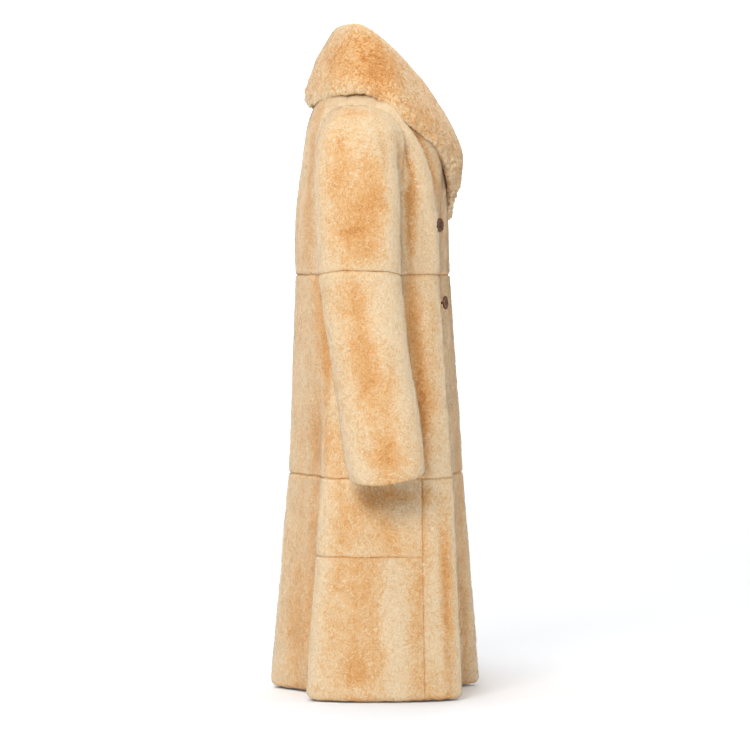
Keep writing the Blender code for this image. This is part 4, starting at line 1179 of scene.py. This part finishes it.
def body_panels():
    gap = SEAM_GAP / 2
    middle, lower = (SEAM_B_Z + gap, SEAM_A_Z - gap), (HEM_Z, SEAM_B_Z - gap)
    seams, hemmed = ("seam", "seam"), ("rim", "seam")
    seed = 100
    for side, label in SIDES:
        armhole = partial(armhole_place, side=side, front=True)
        fronts = (
            ("front_upper", (SEAM_A_Z + gap, FRONT_TOP_Z), ("seam", "plain"), armhole, "soft"),
            ("front_middle", middle, seams, *fixed(side * SIDE_SEAM_S), "seam"),
            ("front_lower", lower, hemmed, *fixed(side * SIDE_PANEL_FRONT_S), "seam"),
        )
        for kind, levels, ends, outward, outer_seam in fronts:
            seed += 1
            places, edges = (outward, partial(neck_place, side=side)), (outer_seam, "rim")
            if side > 0:
                places, edges = places[::-1], edges[::-1]
            panel(f"{kind}_{label}", kind, levels, places, ends + edges, side, seed)
        places = fixed(*sorted((side * SIDE_PANEL_FRONT_S, side * SIDE_PANEL_BACK_S)))
        side_panels = (
            ("side_lower_top", (SEAM_C_Z + gap, SEAM_B_Z - gap), seams),
            ("side_lower_bottom", (HEM_Z, SEAM_C_Z - gap), hemmed),
        )
        for kind, levels, ends in side_panels:
            seed += 1
            panel(f"{kind}_{label}", kind, levels, places, ends + seams, side, seed)
    left, right = [partial(armhole_place, side=side, front=False) for side in (1, -1)]
    armholes = (left, lambda z: 360 + right(z))
    backs = (
        ("back_upper", (SEAM_A_Z + gap, NECK_Z), armholes, ("seam", "plain", "soft", "soft")),
        ("back_middle", middle, fixed(SIDE_SEAM_S, 360 - SIDE_SEAM_S), seams + seams),
        ("back_lower", lower, fixed(SIDE_PANEL_BACK_S, 360 - SIDE_PANEL_BACK_S), hemmed + seams),
    )
    for seed, (kind, levels, places, edges) in enumerate(backs, 121):
        panel(kind, kind, levels, places, edges, 0, seed)


# ---------------------------------------------------------------- sleeves
def armhole_rim(side):
    """Points, normals and directions into the armhole, from the shoulder down the front edge and
    up the back edge."""
    levels = ARM_ROWS[:, 0]
    down = levels[::-1]
    z = np.concatenate([[ARMHOLE_TOP_Z], down, [UNDERARM_Z], levels])
    front, back = armhole_place(down, side, True), armhole_place(levels, side, False)
    s = np.concatenate([[side * SHOULDER_SEAM_S], front, [side * SIDE_SEAM_S], back])
    skin = body(s, z)
    normal = body_normal(s, z)
    into = normalised(np.cross(normal, np.roll(skin, -1, axis=0) - np.roll(skin, 1, axis=0)))
    facing = np.sign(((skin.mean(axis=0) - skin) * into).sum(axis=1, keepdims=True))
    return skin, normal, into * facing


def sleeve_ring(row, angles, side):
    """A ring of the sleeve from one table row. Angle 0 is the outer side, 90 the front."""
    in_x, in_z, out_x, out_z, front, back = [value * MM for value in row]
    inside = np.array([side * in_x, 0.0, in_z])
    outside = np.array([side * out_x, 0.0, out_z])
    across = outside - inside
    half = np.linalg.norm(across) / 2
    across = across / (2 * half)
    middle = (inside + outside) / 2
    middle[1] = (front + back) / 2
    half_y = (back - front) / 2
    power = SLEEVE_SQUARENESS
    cosine, sine = np.cos(np.radians(angles)), np.sin(np.radians(angles))
    radius = (np.abs(cosine / half) ** power + np.abs(sine / half_y) ** power) ** (-1 / power)
    ring = middle + (radius * cosine)[:, None] * across
    ring[:, 1] -= radius * sine
    return ring


def round_trip(values, count):
    """A closed run of values, read at this many even steps."""
    values = np.asarray(values, float)
    padded = np.concatenate([values[-3:], values, values[:4]])
    at = np.arange(count) * len(values) / count
    return curve(np.arange(-3, len(values) + 4), padded, at)


def between_rows(keys, places):
    """Rings between a few key rings, at the distances down the middle that places picks."""
    along = travelled(keys.mean(axis=1))
    flat = curve(along, keys.reshape(len(keys), -1), places(along[-1]))
    return flat.reshape(-1, *keys.shape[1:])


def sleeve_upper(side):
    """Rings from the armhole down to the elbow seam, and the even angles of the last of them."""
    count = SLEEVE_COLUMNS
    skin, normal, into = armhole_rim(side)
    depth, height = [column - column.mean() for column in skin.T[1:]]
    angles = np.degrees(np.unwrap(np.arctan2(-depth / np.ptp(depth), height / np.ptp(height))))
    turn = 360.0 * np.sign(angles[-1] - angles[0])
    rise = angles - turn * np.arange(len(angles)) / len(angles)
    angles = round_trip(rise, count)[:, 0] + turn * np.arange(count) / count
    even = np.sign(turn) * np.linspace(0.0, 360.0, count, endpoint=False)
    keys = [round_trip(skin - normal * EDGE_ROLL * 0.2 + into * SEAM_GAP * 0.6, count)]
    for number, row in enumerate(SLEEVE_HEAD, 1):
        share = min(1.0, number / EVEN_AFTER_ROWS)
        keys.append(sleeve_ring(row, angles * (1 - share) + even * share, side))
    keys = np.array(keys)
    keys[-1, :, 2] += SEAM_GAP / 2
    return between_rows(keys, lambda total: spaced(total, NEAR_EDGE, NEAR_EDGE)), even


def sleeve_lower(side, even):
    """Rings from the elbow seam down to the cuff, whose lower edge dips and rises."""
    rows = np.array(SLEEVE_ARM)
    depths = rows[0, 1] - rows[:, 1]
    places = spaced(depths[-1] * MM, NEAR_EDGE, NEAR_RIM) / MM
    rings = np.array([sleeve_ring(row, even, side) for row in curve(depths, rows, places)])
    cuff_y = rings[-1, :, 1]
    front_share = (cuff_y - cuff_y.mean()) / np.ptp(cuff_y)
    dip = CUFF_DROP[0] * np.cos(math.pi * (front_share - 0.15)) - CUFF_DROP[1] * front_share
    near_cuff = smooth_share(1 - (places[-1] - places) * MM / CUFF_REACH)
    rings[..., 2] += near_cuff[:, None] * dip
    rings[0, :, 2] -= SEAM_GAP / 2
    return rings


def sleeves():
    for (side, label), first_seed in zip(SIDES, (131, 141)):
        upper, even = sleeve_upper(side)
        for number, grid in enumerate((upper, sleeve_lower(side, even))):
            kind = ("sleeve_upper", "sleeve_lower")[number]
            middles = grid.mean(axis=1)
            from_start = travelled(middles)[:, None] * np.ones(SLEEVE_COLUMNS)
            to_end = from_start[-1] - from_start
            wander = SEAM_WANDER * noise(grid * [1, 1, 0], 0.015, 53)
            if grid is upper:
                sink = np.maximum(seam_sink(from_start) * SOFT_SEAM, seam_sink(to_end))
                seam_distance, held = to_end, from_start * 2
            else:
                sink = np.maximum(seam_sink(from_start), rim_sink(to_end))
                seam_distance, held = from_start, from_start + ARMHOLE_HOLD
            grid[..., 2] += wander * np.exp(-seam_distance / WANDER_REACH)
            half = len(grid) // 2
            if grid_normals(grid, True)[half, 0] @ (grid[half, 0] - middles[half]) < 0:
                grid, sink = grid[:, ::-1], sink[:, ::-1]
            normals, seed = grid_normals(grid, True), first_seed + number
            dressed(f"{kind}_{label}", kind, grid, normals, sink, held, side, True, seed)


# ---------------------------------------------------------------- collar
def unit(vector):
    return vector / np.linalg.norm(vector)


def collar_rows(half):
    """The rows of one half and one more between each two, so that all are sewn on the neckline."""
    values = np.array([row[1:] for row in half], float)
    rows = curve(np.arange(len(values)), values, np.arange(0, len(values) - 0.75, 0.5))
    for index in range(1, len(rows), 2):
        first, second = values[index // 2, 0], values[index // 2 + 1, 0]
        rows[index, 0] = (first + second) / 2 if first * second > 0 else min(first, second) / 2
    return rows


def collar_section(row, side):
    """One closed section of the collar: up the stand, over the roll, down the fall and back."""
    place, rx, ry, rz, ex, ey, ez, swell, thick = row
    if place > 0:  # on the neck ring
        skin, normal = body_point(side * place, NECK_Z)
        away = np.array([0.0, 0.0, 1.0])
        normal = unit(normal * np.array([1.0, 1.0, 0.0]))
    else:  # down the neckline
        z = place * MM
        skin, normal = body_point(float(neck_place(z, side)), z)
        lower = z - 0.004
        below = body_point(float(neck_place(lower, side)), lower)[0]
        away = unit(np.cross(normal, skin - below)) * side
        away = -away if away[2] < 0 else away
    inside = skin - normal * (WALL - 0.0005) + away * SEAM_GAP * 2
    outside = skin - normal * 0.0012 + away * SEAM_GAP * 2
    roll = np.array([side * rx, ry, rz]) * MM
    edge = np.array([side * ex, ey, ez]) * MM
    thick = thick * MM
    seam = (inside + outside) / 2
    down, stand = unit(edge - roll), unit(seam - roll)
    between = float(stand @ down)
    face = unit(-(stand - down * between))
    back_of_stand = -unit(down - stand * between)
    opening = math.acos(max(-1.0, min(1.0, between)))
    reach = min(0.62 * thick / math.sin(opening / 2), 0.84 * float(np.linalg.norm(seam - roll)))
    crotch = roll + unit(stand + down) * reach
    tip, half = edge - down * (thick / 2), face * (thick / 2)
    swell = face * swell * MM
    fall = (roll + tip + half) / 2 + swell
    under = (tip - half + crotch) / 2 + swell * 0.5
    bent_stand = (inside + roll) / 2 + back_of_stand * 0.003
    return np.array([inside, bent_stand, roll, fall, tip + half, edge, tip - half, under, crotch, outside])


def rounded_loop(keys):
    """16 points of a section: the roll is number 4, the fall's outer edge 9, the crotch 14."""
    outer_places = [0, 1, 2, 3, 4, 4.6, 5.2]
    outer = curve(outer_places, keys[:7], [0, 0.5, 1, 1.5, 2, 2.5, 3, 3.5, 4, 4.6, 5.2])
    under = curve([0, 1, 2], keys[6:9], [0.5, 1.0, 1.5, 2.0])
    return np.concatenate([outer, under, keys[9:10]])


def clear_of(points, samples, gap):
    """Points moved out where they come nearer to the coat's body than the gap."""
    where, facing = samples
    found = points.copy()
    for _ in range(3):
        distance = np.linalg.norm(found[:, None] - where[None], axis=2)
        nearest = distance.argmin(axis=1)
        depth = ((found - where[nearest]) * facing[nearest]).sum(axis=1)
        found += facing[nearest] * np.clip(gap - depth, 0, None)[:, None]
    return found


def collar_loops():
    """All sections, from the left end round the nape to the right end."""
    s, z = np.meshgrid(np.arange(-180.0, 180.0, 2.5), np.arange(-0.262, 0.0005, 0.004))
    samples = body(s, z).reshape(-1, 3), body_normal(s, z).reshape(-1, 3)
    left = [(row, 1) for row in collar_rows(COLLAR[:COLLAR_SHARED] + COLLAR_LEFT_END)[:0:-1]]
    right = [(row, -1) for row in collar_rows(COLLAR)]
    smooth = np.array([rounded_loop(collar_section(row, side)) for row, side in left + right])
    for loop in smooth:
        loop[5:14] = clear_of(loop[5:14], samples, COLLAR_CLEAR)
        loop[14:15] = clear_of(loop[14:15], samples, CROTCH_CLEAR)
    return smooth


def collar_grid(keys):
    """Even rows along the collar, each with even columns round its section."""
    along = travelled(keys[:, 5])[-1]
    count = int(along / COLLAR_STEP)
    flat = curve(travelled(keys[:, 5]), keys.reshape(len(keys), -1), np.linspace(0, along, count))
    number = keys.shape[1]
    points = flat.reshape(count, number, 3).transpose(1, 0, 2).reshape(number, -1)
    grid = round_trip(points, COLLAR_COLUMNS)
    grid = grid.reshape(COLLAR_COLUMNS, count, 3).transpose(1, 0, 2)
    return grid, np.arange(COLLAR_COLUMNS) * number / COLLAR_COLUMNS, along


def collar():
    grid, at, along = collar_grid(collar_loops())
    count, columns = grid.shape[:2]
    normals = grid_normals(grid, True)
    if ((grid - grid.mean(axis=1, keepdims=True)) * normals).sum() < 0:
        grid, at = grid[:, ::-1], at[::-1]
        normals = grid_normals(grid, True)
    edge_near = np.exp(-(((at - LOCKS_AT) / 1.5) ** 2))
    fall_side = smooth_share((FALL_ENDS - at) / 1.5) * smooth_share((at - FALL_STARTS) / 1.5)
    section = travelled(grid[count // 2])
    length = np.linspace(0, along, count)[:, None] + LOCK_WAVE * noise(grid, 0.02, 61)
    flat = np.stack([length, np.ones((count, 1)) * section, np.zeros((count, columns))], axis=-1)
    first, second = clumps(flat, LOCK_SIZE, 63)
    locks = (LOCK_DEPTH * edge_near + 0.0006 * fall_side) * (0.75 - 1.5 * first * first)
    locks *= smooth_share((second - first) / 0.30)
    first, second = clumps(grid, 0.009, 67)
    small = 0.0008 * (0.6 - 1.4 * first * first) * smooth_share((second - first) / 0.25)
    relief = locks + small * (0.4 + 0.6 * fall_side) + 0.0012 * noise(grid, 0.045, 65)
    relief *= 0.45 + 0.55 * fall_side
    outer = grid + normals * relief[..., None]
    fur_normals = normalised(0.9 * grid_normals(outer, True) + 0.1 * normals)
    tone = tone_with_painted_light("collar", grid, fur_normals, bulge(grid, normals, True) * 0.35, -1)
    shell = closed_roll("collar_shell", outer, fur_normals, tone)
    pile = pile_of("collar_pile", outer, fur_normals, tone, tone * 0, True, COLLAR_PILE, 151)
    settle(shell, pile, "collar")


def closed_roll(name, grid, normals, tone):
    """A closed body whose loops run round and whose two ends are rounded off."""
    caps, outs, tips = [], [], []
    for loop, inner_loop in ((grid[0], grid[1]), (grid[-1], grid[-2])):
        out = unit((loop - inner_loop).mean(axis=0))
        middle = loop.mean(axis=0)
        turns = [(math.cos(angle), math.sin(angle)) for angle in map(math.radians, CAP_ANGLES)]
        caps.append([middle + (loop - middle) * wide + out * CAP_DEPTH * far for wide, far in turns])
        outs.append(out)
        tips.append(middle + out * CAP_DEPTH)
    steps = len(CAP_ANGLES)
    sides = [np.broadcast_to(out, (steps, grid.shape[1], 3)) for out in outs]
    facing = np.concatenate([sides[0], normals, sides[1]]).reshape(-1, 3)
    facing = np.concatenate([facing, outs])
    grid = np.concatenate([caps[0][::-1], grid, caps[1]])
    tone = np.concatenate([np.repeat(tone[:1], steps, axis=0), tone, np.repeat(tone[-1:], steps, axis=0)])
    rows, columns = grid.shape[:2]
    index = wrapped(np.arange(rows * columns).reshape(rows, columns))
    faces = [quads_of(index), fans(index, rows * columns, rows * columns + 1)]
    points = np.concatenate([grid.reshape(-1, 3), tips])
    uvs = uv_grid(np.linspace(0.01, 0.99, rows), np.arange(columns) / columns)
    uvs = np.concatenate([uvs, [[0.5, 0.0], [0.5, 1.0]]])
    values = pile_values(SHELL_TIP, 0.5, tone, COLLAR_PILE["fine"]).reshape(-1, 4)
    values = np.concatenate([values, values[:2]])
    return mesh_of(name, points, faces, [FUR], uvs, values, facing)


# ---------------------------------------------------------------- buttons
def turned(name, base, axes, profile, turns, material):
    """A closed turned shape: profile rows of radius and height, from its lowest ring to its middle."""
    side, up, normal = axes
    angles = np.linspace(0, 2 * math.pi, turns, endpoint=False)
    spread = np.cos(angles)[:, None] * side + np.sin(angles)[:, None] * up
    rings = np.array([base + normal * height + spread * radius for radius, height in profile])
    count = len(rings) * turns
    index = wrapped(np.arange(count).reshape(len(rings), turns))
    points = np.concatenate([rings.reshape(-1, 3), [rings[0].mean(axis=0), rings[-1].mean(axis=0)]])
    return mesh_of(name, points, [quads_of(index), fans(index, count, count + 1)], [material])


def cut_by(piece, cutters):
    """Takes the shapes of the cutters out of a piece, and the cutters away."""
    for cutter in cutters:
        cut = piece.modifiers.new("hole", "BOOLEAN")
        cut.operation = "DIFFERENCE"
        cut.object = cutter
    bpy.context.view_layer.update()
    graph = bpy.context.evaluated_depsgraph_get()
    mesh = bpy.data.meshes.new_from_object(piece.evaluated_get(graph))
    piece.modifiers.clear()
    piece.data = mesh
    for cutter in cutters:
        bpy.data.objects.remove(cutter, do_unlink=True)


def thread_loop(name, ends, lift):
    """A stitch of thread that comes out of one hole and goes into another."""
    line = bpy.data.curves.new(name, "CURVE")
    line.dimensions = "3D"
    line.bevel_depth = THREAD_RADIUS
    line.bevel_resolution = 2
    line.use_fill_caps = True
    line.materials.append(THREAD)
    spline = line.splines.new("BEZIER")
    spline.bezier_points.add(2)
    first, last = ends
    places = (first - lift * 1.6, (first + last) / 2 + lift * 0.9, last - lift * 1.6)
    for point, place in zip(spline.bezier_points, places):
        point.co = place
        point.handle_left_type = point.handle_right_type = "AUTO"
    return placed(name, line)


def button(name, x, z, foot, lean):
    """A turned disc with four holes, its stem and its two stitches, leaning on the fur."""
    s = float(place_of(0, x, z, -75.0, 75.0))
    skin, upright = body_point(s, z)
    level = unit(np.cross(np.array([0.0, 0.0, 1.0]), upright))
    up = np.cross(upright, level)
    lean = math.radians(lean) * np.sign(x)
    normal = upright * math.cos(lean) + level * math.sin(lean)
    side = level * math.cos(lean) - upright * math.sin(lean)
    axes = (side, up, normal)
    r, h = BUTTON_RADIUS, BUTTON_HEIGHT
    near_s, near_z = np.meshgrid(s + np.linspace(-9, 9, 13), z + np.linspace(-r, r, 9))
    near = body(near_s, near_z) - skin
    height = (near @ normal)[np.linalg.norm(near, axis=-1) < r + 0.001]
    under = BUTTON_STEM + max(0.0, float(height.max()))
    base = skin + normal * (foot + STEM_RADIUS * math.sin(abs(lean)))
    profile = [(radius, under + h * share) for radius, share in DISC]
    disc = turned(name + "_disc", base, axes, profile, 56, HORN)
    drill = ((1, -0.002), (1, h * 0.5), (1.35, h * 0.70))
    drill = [(HOLE_RADIUS * wide, under + reach) for wide, reach in drill]
    spots = [(a * HOLE_AWAY, b * HOLE_AWAY) for a in (-1, 1) for b in (-1, 1)]
    cutters = [
        turned(f"{name}_drill_{number}", base + side * a + up * b, axes, drill, 14, HORN)
        for number, (a, b) in enumerate(spots)
    ]
    cut_by(disc, cutters)
    top = base + normal * (under + h * DISC[-1][1])
    ends = [top + side * a + up * b for a, b in spots]
    stitches = [
        thread_loop(f"{name}_stitch_{number}", ends[2 * number : 2 * number + 2], normal * STITCH_LIFT)
        for number in range(2)
    ]
    profile = [(radius, under * share - lower) for radius, share, lower in STEM]
    stem = turned(name + "_stem", base, axes, profile, 20, THREAD)
    for piece in [disc, stem] + stitches:
        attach(piece, "root")
    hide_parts(name)


# ---------------------------------------------------------------- stage, light and camera
def camera():
    made = bpy.data.cameras.new("camera")
    made.sensor_width = SENSOR
    made.lens = CAMERA_AWAY / METRES_PER_PIXEL / FRAME_PIXELS * SENSOR
    made.shift_y = -(FRAME_PIXELS / 2 - HORIZON_PIXEL) / FRAME_PIXELS
    eye = placed("camera", made)
    eye.location = (-CAMERA_AWAY, CAMERA_Y, HORIZON_Z)
    eye.rotation_euler = (math.radians(90), 0, math.radians(-90))
    bpy.context.scene.camera = eye


def area_light(name, place, size, power, colour):
    lamp = bpy.data.lights.new(name, "AREA")
    lamp.size = size
    lamp.energy = power
    lamp.color = colour
    made = placed(name, lamp)
    made.location = place
    x, y, z = np.array(place) - np.array(LIT_MIDDLE)
    made.rotation_euler = (math.atan2(math.hypot(x, y), z), 0, math.atan2(y, x) + math.pi / 2)


def stage():
    """A pale floor that curves up into the backdrop behind the coat, and the lights."""
    values = {"Base Color": FLOOR_COLOUR, "Roughness": 0.9, "Emission Color": (1, 1, 1, 1)}
    pale, tree, shader, place = shader_of("pale_floor", values)
    level = HEM_Z - FLOOR_GAP
    rise = node(tree, "SeparateXYZ", {0: place}, "Z")
    glow = range_node(tree, rise, level, level + 1.0, *BACKDROP_GLOW)
    tree.links.new(glow, shader.inputs["Emission Strength"])
    cove = np.radians(np.linspace(0, 90, 13))
    outline = [(-BACKDROP_REACH, level)]
    outline += [(BACKDROP_X + COVE * math.sin(a), level + COVE * (1 - math.cos(a))) for a in cove]
    outline += [(BACKDROP_X + COVE, level + BACKDROP_REACH)]
    points = np.array([(x, y, z) for y in (-BACKDROP_REACH, BACKDROP_REACH) for x, z in outline])
    first = np.arange(len(outline) - 1)
    faces = np.stack([first, first + 1, first + 1 + len(outline), first + len(outline)], -1)[:, ::-1]
    mesh_of("floor", points, [faces], [pale])
    world = bpy.data.worlds.new("studio")
    world.use_nodes = True
    sky = world.node_tree.nodes["Background"]
    sky.inputs["Color"].default_value = SKY_COLOUR
    sky.inputs["Strength"].default_value = SKY_STRENGTH
    bpy.context.scene.world = world
    for light in LIGHTS:
        area_light(*light)
    bpy.context.scene.view_settings.view_transform = "Standard"


camera()
stage()
body_panels()
sleeves()
collar()
for name, *place in BUTTONS:
    button("button_" + name, *place)
